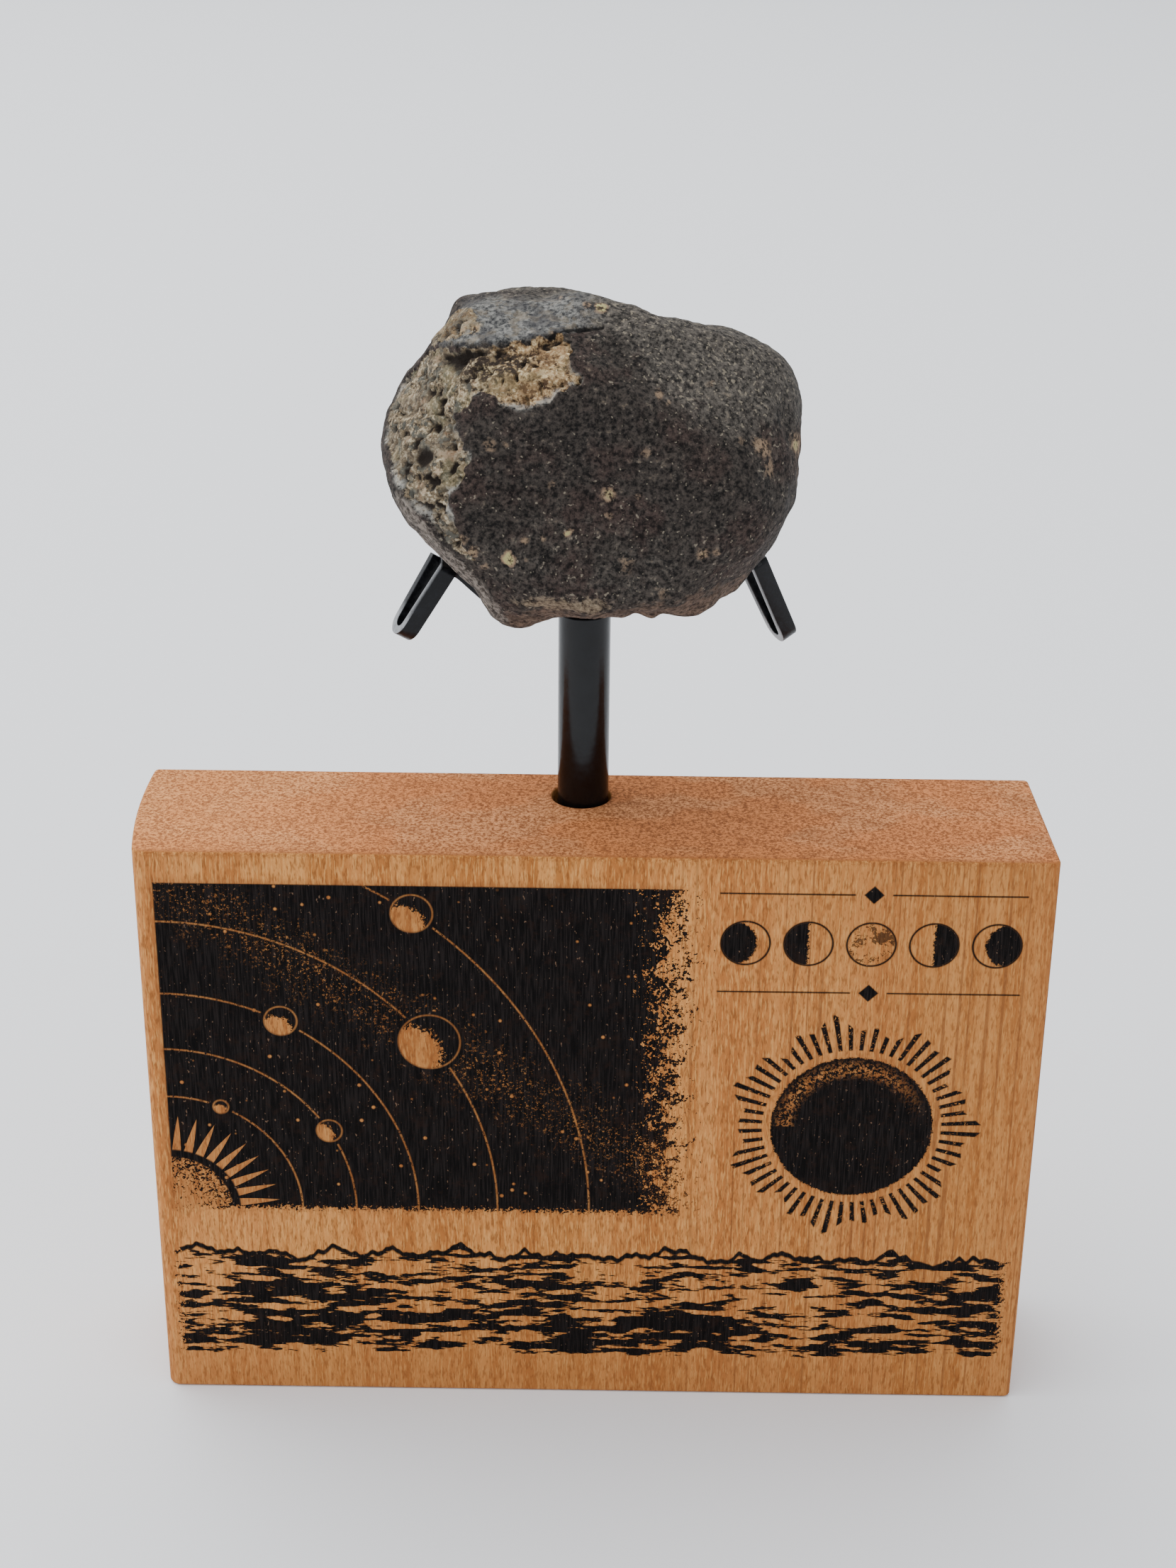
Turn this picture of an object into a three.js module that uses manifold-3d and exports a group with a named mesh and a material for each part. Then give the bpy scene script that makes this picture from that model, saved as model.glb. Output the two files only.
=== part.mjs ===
// A chondrite meteorite on its display stand.
//
// Millimetres, +Z up. The origin is the centre of the underside of the wooden block,
// whose long front face looks along -Y. A black rod stands in a drilled hole in the
// block and carries a small hub with three prongs of folded steel strip. The stone
// rests on the three prongs and can be lifted off.

import * as THREE from 'three';
import { mergeVertices } from 'three/addons/utils/BufferGeometryUtils.js';
import Module from 'manifold-3d';

const wasm = await Module();
wasm.setup();

// ---------------------------------------------------------------- driving dimensions

const CLEARANCE = 0.3;

// The block is cut a little out of square: its ends lean with the depth.
const BLOCK_WIDTH = 105;
const BLOCK_DEPTH = 22;
const BLOCK_HEIGHT = 75;
const END_SKEW = 0.4;
const LEFT_END_BULGE = 0.7;
const BLOCK_ARRIS = 0.4;
const FRONT_LEFT_ROUND = 1.3;
const FRONT_RIGHT_BEVEL = 0.8;
const BACK_ROUND = 0.5;
const FOOT_LEFT_ROUND = 1.4;

const POST_RADIUS = 3;
const POST_X = -1.3;
const POST_Y = 5;
const HOLE_RADIUS = 3.5;
const HOLE_X = -1.5;
const HOLE_DEPTH = 25;

const HUB_RADIUS = 3.8;
const HUB_THICKNESS = 1.4;
const HUB_TOP = 100.3;

const STRIP_THICKNESS = 1;
const STRIP_WIDTH = 2;
const STRAP_WIDTH = 4.9;
const LOOP_SPACING_TOP = 3.9;
const LOOP_SPACING_FOOT = 2.8;

// Each prong's strap lies in an upright plane through the post. Its points are pairs of
// distance from the post's axis and height above the table. The loop hangs from
// loopTop, turned about the upright by loopTurn degrees.
const STRAP_START = [HUB_RADIUS + CLEARANCE, HUB_TOP - HUB_THICKNESS / 2];
const PRONGS = [
  {
    name: 'arm_left',
    azimuth: 183,
    strap: [
      STRAP_START, [7.6, 99.35], [9.6, 99.65], [11.2, 100.4],
      [12.6, 101.65], [14, 103], [15.2, 103.9], [16.4, 104.5],
    ],
    loopTop: [16, 104.4],
    loopFoot: [20.3, 97.75],
    loopTurn: 17,
  },
  {
    name: 'arm_right',
    azimuth: 17,
    strap: [STRAP_START, [8.6, 99.75], [12.5, 100.4], [16, 101], [18.2, 101.9], [20.2, 103.4]],
    loopTop: [19.75, 103.3],
    loopFoot: [24.35, 93.95],
    loopTurn: 11,
  },
  {
    name: 'arm_back',
    azimuth: 105,
    strap: [STRAP_START, [8.6, 100.3], [12.4, 101.5], [16.3, 103.35]],
    loopTop: [15.8, 103.15],
    loopFoot: [19.8, 96.6],
    loopTurn: 0,
  },
];

// The stone is described about its centre, in the axes of its broad face: across,
// up the face and out of the face. The face leans back by FACE_TILT.
const STONE_CENTRE = new THREE.Vector3(-0.6, 6, 116.5);
const FACE_TILT = 18;
const CORNER_SHARPNESS = 18;

// Each facet is a broad flat of the stone: the clock angle round the face in degrees,
// the lean towards the viewer in degrees and the distance from the centre.
const RIM_FACETS = [
  [272, -18, 15.2], [300, -8, 22.0], [324, -6, 22.8], [347, 2, 23.4], [9, -2, 24.9],
  [44, -4, 23.6], [77, 0, 17.2], [94, 4, 21.2], [113, 2, 21.0], [139, 0, 21.9],
  [158, 4, 24.0], [187, 2, 23.0], [222, -10, 19.0],
];
const FRONT_FACETS = [
  [270, 77, 15.6], [58, 50, 17.6], [166, 42, 21.0], [97, 42, 18.8],
  [3, 31, 22.6], [305, 28, 20.8], [226, 28, 20.9], [268, 22, 19.5],
];
const BACK_FACETS = [
  [60, -80, 16.0], [158, -46, 19.0], [18, -45, 19.5],
  [262, -48, 18.0], [74, -42, 17.0], [312, -40, 20.0],
];

// Rounded lumps and hollows: clock angle, lean, half width and height.
const LUMPS = [
  [246, 6, 3.8, 2.3], [130, 6, 2.4, 0.35], [66, 2, 5.0, -1.1], [106, 0, 4.0, 0.6],
  [283, 16, 1.6, 0.5], [301, 11, 3.2, 0.75], [169, 0, 4.5, 0.8], [151, 0, 2.6, 0.35],
  [24, 0, 6.0, 0.4], [341, 13, 3.0, -0.45], [220, 14, 3.0, -0.5], [187, 13, 1.8, -0.45],
  [66, 20, 2.2, -0.45],
];
const LUMP_REACH = 20;
const SLOW_SWELL = { length: 15, height: 0.28, seed: 1 };
const FINE_SWELL = { length: 6, height: 0.12, seed: 2 };
const SWELL_WAVES = 9;

// Places on the broad face are millimetres across and up from its middle, measured
// along the surface. The crust has broken away inside this outline.
const BROKEN_PATCH = [
  [-19, 17], [-15, 15.3], [-11.4, 13.8], [-9.5, 13], [-7.5, 13.8], [-4.7, 15.3],
  [-3.2, 13.8], [-1.6, 9], [-3, 7.2], [-7.5, 5.2], [-12, 6.8], [-15.7, 4.5],
  [-14.3, 0], [-15, -3.2], [-16.3, -10.3], [-18.3, -6.8], [-21, -5], [-33, -4.5],
  [-37, 2], [-34, 9], [-27, 14], [-22, 16.5],
];
const PATCH_DEPTH = 0.6;
const PATCH_BORDER = 0.7;

// A slab of crust stands proud above this line, with an undercut below it.
const LEDGE_LINE = [[-18, 17.2], [-15, 15.3], [-9.5, 13], [-4.7, 15.3], [1.7, 17.7]];
const LEDGE_HEIGHT = 0.5;
const LEDGE_DEPTH = 12;
const LEDGE_LEFT_FADE = [-20, -17];
const LEDGE_RIGHT_FADE = [-4, 3];
const UNDERCUT_DEPTH = 1.0;
const UNDERCUT_WIDTH = 1.1;

// Round pits: across, up, half width and depth.
const PITS = [
  [-19.4, -0.6, 1.3, 1.2], [-8, 11.4, 2.6, 0.9], [-17.4, 8.6, 1.5, 0.8],
  [-22.5, 4.5, 1.4, 0.8], [-25, -1.5, 1.4, 0.7], [-13.2, 10.4, 1.3, 0.7],
];

const STONE_COLUMNS = 74;
const STONE_ROWS = 46;
const FRONT_CROWDING = 0.35;
const ROUND_SIDES = 40;

// ---------------------------------------------------------------- materials

const beechWood = new THREE.MeshStandardMaterial({ color: 0xc98f5a, roughness: 0.65 });
const blackRod = new THREE.MeshStandardMaterial({ color: 0x0d0d0f, roughness: 0.25 });
const blackSteel = new THREE.MeshStandardMaterial({ color: 0x17171a, roughness: 0.35 });
const darkCrust = new THREE.MeshStandardMaterial({ color: 0x3c3631, roughness: 0.9 });

// ---------------------------------------------------------------- helpers

const radians = THREE.MathUtils.degToRad;
const smoothstep = THREE.MathUtils.smoothstep;

function solidFromGeometry(geometry) {
  geometry.deleteAttribute('normal');
  geometry.deleteAttribute('uv');
  const merged = mergeVertices(geometry, 1e-4);
  return new wasm.Manifold(new wasm.Mesh({
    numProp: 3,
    vertProperties: merged.attributes.position.array,
    triVerts: Uint32Array.from(merged.index.array),
  }));
}

function geometryFromSolid(solid) {
  const mesh = solid.getMesh();
  const geometry = new THREE.BufferGeometry();
  geometry.setAttribute('position', new THREE.BufferAttribute(mesh.vertProperties, 3));
  geometry.setIndex(new THREE.BufferAttribute(mesh.triVerts, 1));
  geometry.computeVertexNormals();
  return geometry;
}

function uprightCylinder(radius, bottom, top) {
  const geometry = new THREE.CylinderGeometry(radius, radius, top - bottom, ROUND_SIDES);
  geometry.rotateX(Math.PI / 2);
  geometry.translate(0, 0, (bottom + top) / 2);
  return geometry;
}

// ---------------------------------------------------------------- wooden block

function blockPlan() {
  const inset = BLOCK_ARRIS;
  const front = -BLOCK_DEPTH / 2 + inset;
  const back = BLOCK_DEPTH / 2 - inset;
  const rightFront = BLOCK_WIDTH / 2 + END_SKEW - inset;
  const rightBack = BLOCK_WIDTH / 2 - END_SKEW - inset;
  const leftFront = -BLOCK_WIDTH / 2 + END_SKEW + inset;
  const leftBack = -BLOCK_WIDTH / 2 - END_SKEW + inset;
  const bulgeX = -BLOCK_WIDTH / 2 + inset - 2 * LEFT_END_BULGE;

  const plan = new THREE.Shape();
  plan.moveTo(leftFront + FRONT_LEFT_ROUND, front);
  plan.lineTo(rightFront - FRONT_RIGHT_BEVEL, front);
  plan.lineTo(rightFront, front + FRONT_RIGHT_BEVEL);
  plan.lineTo(rightBack, back - BACK_ROUND);
  plan.quadraticCurveTo(rightBack, back, rightBack - BACK_ROUND, back);
  plan.lineTo(leftBack + BACK_ROUND, back);
  plan.quadraticCurveTo(leftBack, back, leftBack, back - BACK_ROUND);
  plan.quadraticCurveTo(bulgeX, 0, leftFront, front + FRONT_LEFT_ROUND);
  plan.quadraticCurveTo(leftFront, front, leftFront + FRONT_LEFT_ROUND, front);
  return plan;
}

// The lower left edge is worn round: this bar takes the square corner away.
function wornFootCutter() {
  const radius = FOOT_LEFT_ROUND;
  const cornerX = -BLOCK_WIDTH / 2 - LEFT_END_BULGE / 2;
  const profile = new THREE.Shape();
  profile.moveTo(cornerX - 2, -2);
  profile.lineTo(cornerX + radius, -2);
  profile.lineTo(cornerX + radius, 0);
  profile.absarc(cornerX + radius, radius, radius, -Math.PI / 2, -Math.PI, true);
  profile.lineTo(cornerX - 2, radius);
  const bar = new THREE.ExtrudeGeometry(profile, {
    depth: 2 * BLOCK_DEPTH,
    bevelEnabled: false,
    curveSegments: 4,
  });
  bar.rotateX(Math.PI / 2);
  bar.translate(0, BLOCK_DEPTH, 0);
  return bar;
}

function blockGeometry() {
  const block = new THREE.ExtrudeGeometry(blockPlan(), {
    depth: BLOCK_HEIGHT - 2 * BLOCK_ARRIS,
    bevelThickness: BLOCK_ARRIS,
    bevelSize: BLOCK_ARRIS,
    bevelSegments: 2,
    curveSegments: 8,
  });
  block.translate(0, 0, BLOCK_ARRIS);
  const hole = uprightCylinder(HOLE_RADIUS, BLOCK_HEIGHT - HOLE_DEPTH, BLOCK_HEIGHT + 1);
  hole.translate(HOLE_X, POST_Y, 0);
  const drilled = solidFromGeometry(block).subtract(solidFromGeometry(hole));
  return geometryFromSolid(drilled.subtract(solidFromGeometry(wornFootCutter())));
}

// ---------------------------------------------------------------- folded prongs

// The strap is a flat strip that runs from the hub along the underside of the stone.
function strapGeometry(points) {
  const middle = new THREE.SplineCurve(points.map(([out, up]) => new THREE.Vector2(out, up)));
  const samples = 6 * (points.length - 1);
  const upper = [];
  const lower = [];
  for (let i = 0; i <= samples; i += 1) {
    const point = middle.getPoint(i / samples);
    const along = middle.getTangent(i / samples);
    const across = new THREE.Vector2(-along.y, along.x).multiplyScalar(STRIP_THICKNESS / 2);
    upper.push(point.clone().add(across));
    lower.push(point.clone().sub(across));
  }
  const strap = new THREE.ExtrudeGeometry(new THREE.Shape([...lower, ...upper.reverse()]), {
    depth: STRAP_WIDTH,
    bevelEnabled: false,
  });
  strap.rotateX(Math.PI / 2);
  strap.translate(0, STRAP_WIDTH / 2, 0);
  return strap;
}

// The loop is a strip folded into a hairpin, with its round bend at the foot. It is
// drawn flat, with the fold at the origin, then stood between its foot and its top.
function loopGeometry(top, foot) {
  const out = top[0] - foot[0];
  const up = top[1] - foot[1];
  const length = Math.hypot(out, up);
  const outerFoot = (LOOP_SPACING_FOOT + STRIP_THICKNESS) / 2;
  const outerTop = (LOOP_SPACING_TOP + STRIP_THICKNESS) / 2;
  const innerFoot = outerFoot - STRIP_THICKNESS;
  const innerTop = outerTop - STRIP_THICKNESS;

  const hairpin = new THREE.Shape();
  hairpin.moveTo(-outerTop, length);
  hairpin.lineTo(-outerFoot, 0);
  hairpin.absarc(0, 0, outerFoot, Math.PI, 2 * Math.PI, false);
  hairpin.lineTo(outerTop, length);
  hairpin.lineTo(innerTop, length);
  hairpin.lineTo(innerFoot, 0);
  hairpin.absarc(0, 0, innerFoot, 0, -Math.PI, true);
  hairpin.lineTo(-innerTop, length);
  const loop = new THREE.ExtrudeGeometry(hairpin, {
    depth: STRIP_WIDTH,
    bevelEnabled: false,
    curveSegments: 10,
  });
  loop.translate(0, 0, -STRIP_WIDTH / 2);

  const sideways = new THREE.Vector3(0, 1, 0);
  const lengthwise = new THREE.Vector3(out, 0, up).normalize();
  const widthwise = new THREE.Vector3().crossVectors(sideways, lengthwise);
  loop.applyMatrix4(new THREE.Matrix4().makeBasis(sideways, lengthwise, widthwise));
  loop.translate(foot[0], 0, foot[1]);
  return loop;
}

function prongGeometry(prong) {
  const loop = loopGeometry(prong.loopTop, prong.loopFoot);
  loop.translate(-prong.loopTop[0], 0, 0);
  loop.rotateZ(radians(prong.loopTurn));
  loop.translate(prong.loopTop[0], 0, 0);
  const strap = solidFromGeometry(strapGeometry(prong.strap));
  return geometryFromSolid(strap.add(solidFromGeometry(loop)));
}

// ---------------------------------------------------------------- the stone

function direction(clock, lean) {
  const around = radians(clock);
  const out = radians(lean);
  return new THREE.Vector3(
    Math.cos(around) * Math.cos(out),
    Math.sin(around) * Math.cos(out),
    Math.sin(out),
  );
}

const facetPlanes = [...RIM_FACETS, ...FRONT_FACETS, ...BACK_FACETS].map(
  ([clock, lean, reach]) => ({ normal: direction(clock, lean), reach }),
);
const lumpPlaces = LUMPS.map(
  ([clock, lean, width, height]) => ({ normal: direction(clock, lean), width, height }),
);

// The facets meet in rounded corners: a high power of the plane distances, summed.
function facetedRadius(ray) {
  let sum = 0;
  for (const { normal, reach } of facetPlanes) {
    sum += Math.max(0, ray.dot(normal) / reach) ** CORNER_SHARPNESS;
  }
  return sum ** (-1 / CORNER_SHARPNESS);
}

function lumpHeight(ray) {
  let height = 0;
  for (const lump of lumpPlaces) {
    const away = 2 * (1 - ray.dot(lump.normal)) * (LUMP_REACH / lump.width) ** 2;
    height += lump.height * Math.exp(-away);
  }
  return height;
}

// A swell is a sum of sine waves whose directions are spread evenly over a sphere.
function swell(point, { length, height, seed }) {
  const goldenAngle = 2.399963;
  let sum = 0;
  for (let k = 1; k <= SWELL_WAVES; k += 1) {
    const y = 1 - (2 * (k - 0.5)) / SWELL_WAVES;
    const ring = Math.sqrt(1 - y * y);
    const angle = goldenAngle * k + seed;
    const wave = new THREE.Vector3(ring * Math.cos(angle), y, ring * Math.sin(angle));
    wave.multiplyScalar(1 + 0.35 * Math.sin(seed * 3.1 + k * 1.7));
    sum += Math.sin((2 * Math.PI * point.dot(wave)) / length + seed * 5.3 + k * k);
  }
  return (height * sum) / Math.sqrt(SWELL_WAVES / 2);
}

// Distance inside an outline, positive inside it and negative outside.
function depthInside(outline, p, q) {
  let nearest = Infinity;
  let inside = false;
  outline.forEach(([x0, y0], i) => {
    const [x1, y1] = outline[(i + 1) % outline.length];
    const run = x1 - x0;
    const rise = y1 - y0;
    const along = ((p - x0) * run + (q - y0) * rise) / (run ** 2 + rise ** 2);
    const t = THREE.MathUtils.clamp(along, 0, 1);
    nearest = Math.min(nearest, Math.hypot(p - x0 - t * run, q - y0 - t * rise));
    if (y0 > q !== y1 > q && p < x0 + ((q - y0) * run) / rise) {
      inside = !inside;
    }
  });
  return inside ? nearest : -nearest;
}

function heightAboveLedge(p, q) {
  const index = LEDGE_LINE.findIndex(([x]) => p < x);
  const right = Math.max(1, index < 0 ? LEDGE_LINE.length - 1 : index);
  const [x0, y0] = LEDGE_LINE[right - 1];
  const [x1, y1] = LEDGE_LINE[right];
  return q - y0 - ((p - x0) * (y1 - y0)) / (x1 - x0);
}

function faceRelief(ray) {
  const angle = Math.acos(THREE.MathUtils.clamp(ray.z, -1, 1));
  const flat = Math.hypot(ray.x, ray.y) + 1e-9;
  const p = (LUMP_REACH * angle * ray.x) / flat;
  const q = (LUMP_REACH * angle * ray.y) / flat;

  const broken = smoothstep(depthInside(BROKEN_PATCH, p, q), -PATCH_BORDER, PATCH_BORDER);
  const ledgeSpan = smoothstep(p, ...LEDGE_LEFT_FADE) * (1 - smoothstep(p, ...LEDGE_RIGHT_FADE));
  const above = heightAboveLedge(p, q);
  const slab = smoothstep(above, 0, 1) * (1 - smoothstep(above, LEDGE_DEPTH / 2, LEDGE_DEPTH));
  const undercut = Math.exp(-(((above + UNDERCUT_WIDTH) / UNDERCUT_WIDTH) ** 2)) * broken;
  let height = ledgeSpan * (LEDGE_HEIGHT * slab - UNDERCUT_DEPTH * undercut);
  height -= PATCH_DEPTH * broken;
  for (const [x, y, width, depth] of PITS) {
    height -= depth * Math.exp(-((p - x) ** 2 + (q - y) ** 2) / width ** 2);
  }
  return height;
}

function stoneRadius(ray) {
  const base = facetedRadius(ray);
  const point = ray.clone().multiplyScalar(base);
  return base + lumpHeight(ray) + faceRelief(ray) + swell(point, SLOW_SWELL) + swell(point, FINE_SWELL);
}

// Columns run round the stone, closer together on the broad face, and rows run from
// its lower pole to its upper pole.
function stoneGeometry() {
  const positions = [];
  const triangles = [];
  const addPoint = (longitude, latitude) => {
    const ray = new THREE.Vector3(
      Math.cos(latitude) * Math.sin(longitude),
      Math.sin(latitude),
      Math.cos(latitude) * Math.cos(longitude),
    );
    positions.push(...ray.multiplyScalar(stoneRadius(ray)));
  };
  addPoint(0, -Math.PI / 2);
  for (let row = 1; row < STONE_ROWS; row += 1) {
    for (let column = 0; column < STONE_COLUMNS; column += 1) {
      const turn = (2 * Math.PI * column) / STONE_COLUMNS;
      addPoint(turn - FRONT_CROWDING * Math.sin(turn), Math.PI * (row / STONE_ROWS - 0.5));
    }
  }
  addPoint(0, Math.PI / 2);

  const ring = (row, column) => 1 + (row - 1) * STONE_COLUMNS + (column % STONE_COLUMNS);
  const topPole = positions.length / 3 - 1;
  for (let column = 0; column < STONE_COLUMNS; column += 1) {
    triangles.push(0, ring(1, column + 1), ring(1, column));
    triangles.push(topPole, ring(STONE_ROWS - 1, column), ring(STONE_ROWS - 1, column + 1));
    for (let row = 1; row < STONE_ROWS - 1; row += 1) {
      triangles.push(ring(row, column), ring(row, column + 1), ring(row + 1, column));
      triangles.push(ring(row, column + 1), ring(row + 1, column + 1), ring(row + 1, column));
    }
  }
  const geometry = new THREE.BufferGeometry();
  geometry.setAttribute('position', new THREE.Float32BufferAttribute(positions, 3));
  geometry.setIndex(triangles);
  geometry.computeVertexNormals();

  const tilt = radians(FACE_TILT);
  const across = new THREE.Vector3(1, 0, 0);
  const upFace = new THREE.Vector3(0, Math.sin(tilt), Math.cos(tilt));
  const outOfFace = new THREE.Vector3(0, -Math.cos(tilt), Math.sin(tilt));
  geometry.applyMatrix4(new THREE.Matrix4().makeBasis(across, upFace, outOfFace));
  return geometry;
}

// ---------------------------------------------------------------- assembly

function addPart(parent, name, geometry, material) {
  const mesh = new THREE.Mesh(geometry, material);
  mesh.name = name;
  parent.add(mesh);
  return mesh;
}

const specimen = new THREE.Group();
addPart(specimen, 'wood_block', blockGeometry(), beechWood);

const postBottom = BLOCK_HEIGHT - HOLE_DEPTH + CLEARANCE;
const hubBottom = HUB_TOP - HUB_THICKNESS;
const stand = new THREE.Group();
stand.position.set(POST_X, POST_Y, 0);
specimen.add(stand);
addPart(stand, 'post', uprightCylinder(POST_RADIUS, postBottom, hubBottom - CLEARANCE), blackRod);
addPart(stand, 'hub', uprightCylinder(HUB_RADIUS, hubBottom, HUB_TOP), blackSteel);
for (const prong of PRONGS) {
  const arm = addPart(stand, prong.name, prongGeometry(prong), blackSteel);
  arm.rotation.z = radians(prong.azimuth);
}

const meteorite = addPart(specimen, 'meteorite', stoneGeometry(), darkCrust);
meteorite.position.copy(STONE_CENTRE);

export default specimen;
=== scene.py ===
# %% [markdown]
# # A chondrite meteorite on its display stand
#
# A stone about 46 mm across rests on three prongs of folded steel strip. A black rod
# carries the prongs and stands in a block of bare wood with a charred panel on its front.
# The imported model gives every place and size, so this lesson only makes the fine surfaces:
# each one is a grid of points worked out with numpy, and each finish is a tree of nodes.

# %% Load the frame
import math
from functools import partialmethod

import bpy
import numpy as np
from mathutils import Matrix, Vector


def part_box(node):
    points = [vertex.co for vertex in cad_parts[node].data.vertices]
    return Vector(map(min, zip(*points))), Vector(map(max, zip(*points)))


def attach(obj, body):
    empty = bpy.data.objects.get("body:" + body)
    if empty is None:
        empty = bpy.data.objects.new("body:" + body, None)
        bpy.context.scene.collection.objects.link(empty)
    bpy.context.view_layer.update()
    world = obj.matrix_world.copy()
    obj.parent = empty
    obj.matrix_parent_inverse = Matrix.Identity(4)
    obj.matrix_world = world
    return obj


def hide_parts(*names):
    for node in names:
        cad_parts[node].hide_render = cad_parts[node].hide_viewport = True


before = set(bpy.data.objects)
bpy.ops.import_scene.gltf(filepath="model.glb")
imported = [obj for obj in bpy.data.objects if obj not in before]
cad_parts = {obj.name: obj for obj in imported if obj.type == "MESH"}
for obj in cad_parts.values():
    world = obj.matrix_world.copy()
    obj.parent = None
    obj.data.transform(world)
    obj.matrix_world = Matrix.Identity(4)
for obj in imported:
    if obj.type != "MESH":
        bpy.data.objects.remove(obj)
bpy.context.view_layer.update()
MM = 0.001
print("nodes:", ", ".join(sorted(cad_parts)))

# %% [markdown]
# ## Camera
#
# The camera stands about a third of a metre away and looks down by about 25 degrees. A
# camera in Blender looks along its own -Z with +Y up, so its three axes are worked out from
# the heading, the downward pitch and a small roll.

# %% Camera
CAMERA_PLACE = (1.18, -273.12, 208.91)
CAMERA_PITCH = math.radians(25.461)
CAMERA_HEADING = math.radians(-0.392)
CAMERA_ROLL = math.radians(0.575)
CAMERA_LENS = 59.93


def add_object(name, data):
    """Puts a mesh, a lamp or a camera in the scene as an object."""
    thing = bpy.data.objects.new(name, data)
    bpy.context.scene.collection.objects.link(thing)
    return thing


def camera_axes(heading, pitch, roll):
    """Right, up and forward: level axes turned by the heading, pitched down, then rolled."""
    level_forward = np.array([math.sin(heading), math.cos(heading), 0.0])
    level_right = np.array([math.cos(heading), -math.sin(heading), 0.0])
    upright = np.array([0.0, 0.0, 1.0])
    forward = math.cos(pitch) * level_forward - math.sin(pitch) * upright
    up = math.sin(pitch) * level_forward + math.cos(pitch) * upright
    right = math.cos(roll) * level_right + math.sin(roll) * up
    up = math.cos(roll) * up - math.sin(roll) * level_right
    return right, up, forward


camera_data = bpy.data.cameras.new("camera")
camera_data.lens = CAMERA_LENS
camera_data.sensor_width = 36.0
camera_data.clip_start = 0.01
camera = add_object("camera", camera_data)
right, up, forward = camera_axes(CAMERA_HEADING, CAMERA_PITCH, CAMERA_ROLL)
turn = Matrix(np.column_stack([right, up, -forward]).tolist()).to_4x4()
camera.matrix_world = Matrix.Translation([value * MM for value in CAMERA_PLACE]) @ turn
bpy.context.scene.camera = camera
print("camera distance in mm:", round(float(np.linalg.norm(CAMERA_PLACE)), 1))

# %% [markdown]
# ## Shapes as grids of points
#
# Every piece here is closed and can be drawn as a stack of closed rings, from one end to
# the other. So one function turns an array of rings into a mesh: four-sided faces between
# neighbouring rings and a fan of triangles at each end. The whole array is handed over at
# once with foreach_set, which is far quicker than adding faces one by one.

# %% Ring mesh


def ring_faces(rings, sides):
    """Corner numbers of the faces: quads between rings, then a fan at each end."""
    ring = np.arange(rings - 1)[:, None] * sides
    side = np.arange(sides)[None, :]
    after = (side + 1) % sides
    quads = np.stack([ring + side, ring + after, ring + sides + after, ring + sides + side], -1)
    start = rings * sides
    last = (rings - 1) * sides
    first_fan = np.stack([np.full(sides, start), after[0], side[0]], -1)
    last_fan = np.stack([np.full(sides, start + 1), last + side[0], last + after[0]], -1)
    return quads.reshape(-1, 4), np.concatenate([first_fan, last_fan])


def mesh_from_rings(name, rings):
    """Rings is (ring, side, xyz) in mm. The two end rings are closed on their own middles."""
    count, sides, _ = rings.shape
    points = np.concatenate([rings.reshape(-1, 3), rings[:1].mean(1), rings[-1:].mean(1)])
    quads, fans = ring_faces(count, sides)
    corners = np.concatenate([quads.ravel(), fans.ravel()])
    starts = np.concatenate([np.arange(len(quads)) * 4, 4 * len(quads) + np.arange(len(fans)) * 3])
    mesh = bpy.data.meshes.new(name)
    mesh.vertices.add(len(points))
    mesh.loops.add(len(corners))
    mesh.polygons.add(len(starts))
    mesh.vertices.foreach_set("co", (points * MM).astype(np.float32).ravel())
    mesh.loops.foreach_set("vertex_index", corners.astype(np.int32))
    mesh.polygons.foreach_set("loop_start", starts.astype(np.int32))
    mesh.update(calc_edges=True)
    mesh.polygons.foreach_set("use_smooth", np.ones(len(starts), dtype=bool))
    mesh.validate()
    return mesh


def add_values(mesh, name, values):
    """Keeps a number per point for a material to read. The end points get the mean."""
    rows = values.reshape(values.shape[0], -1)
    numbers = np.concatenate([rows.ravel(), [rows[0].mean(), rows[-1].mean()]])
    kept_numbers = mesh.attributes.new(name, "FLOAT", "POINT")
    kept_numbers.data.foreach_set("value", numbers.astype(np.float32))


def add_piece(mesh, node, material):
    """Puts a mesh in the scene as the piece that stands for a CAD node of the one body."""
    piece = add_object(mesh.name, mesh)
    mesh.materials.append(material)
    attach(piece, "root")
    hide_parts(node)
    triangles = sum(len(face.vertices) - 2 for face in mesh.polygons)
    print(f"{mesh.name}: {triangles} triangles")


# %% [markdown]
# ## Numbers on a surface
#
# A finish is mostly arithmetic: how far a point is from a line, how much noise to add, where
# to switch from one colour to another. Written out as single nodes that is hard to read, so
# a Field stands for a number at every point. Adding two Fields adds a Math node.

# %% Node arithmetic


class Field:
    """A number at every point of a surface: the output socket of a node in a material."""

    def __init__(self, socket):
        self.socket = socket
        self.tree = socket.id_data

    def math(self, operation, *others):
        """A Math node that works on this number and the others."""
        node = self.tree.nodes.new("ShaderNodeMath")
        node.operation = operation
        for place, value in enumerate((self, *others)):
            plug(node.inputs[place], value)
        return Field(node.outputs[0])

    def __rsub__(self, other):
        return self.math("MULTIPLY", -1.0) + other

    def sway(self, reach):
        """A noise of 0 to 1 about its middle: less a half, times reach."""
        return (self - 0.5) * reach

    # Size is a number without its sign, and least and most are the lesser and greater of two.
    __add__ = __radd__ = partialmethod(math, "ADD")
    __sub__ = partialmethod(math, "SUBTRACT")
    __mul__ = __rmul__ = partialmethod(math, "MULTIPLY")
    size = partialmethod(math, "ABSOLUTE")
    root = partialmethod(math, "SQRT")
    sine = partialmethod(math, "SINE")
    least = partialmethod(math, "MINIMUM")
    most = partialmethod(math, "MAXIMUM")


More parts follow.
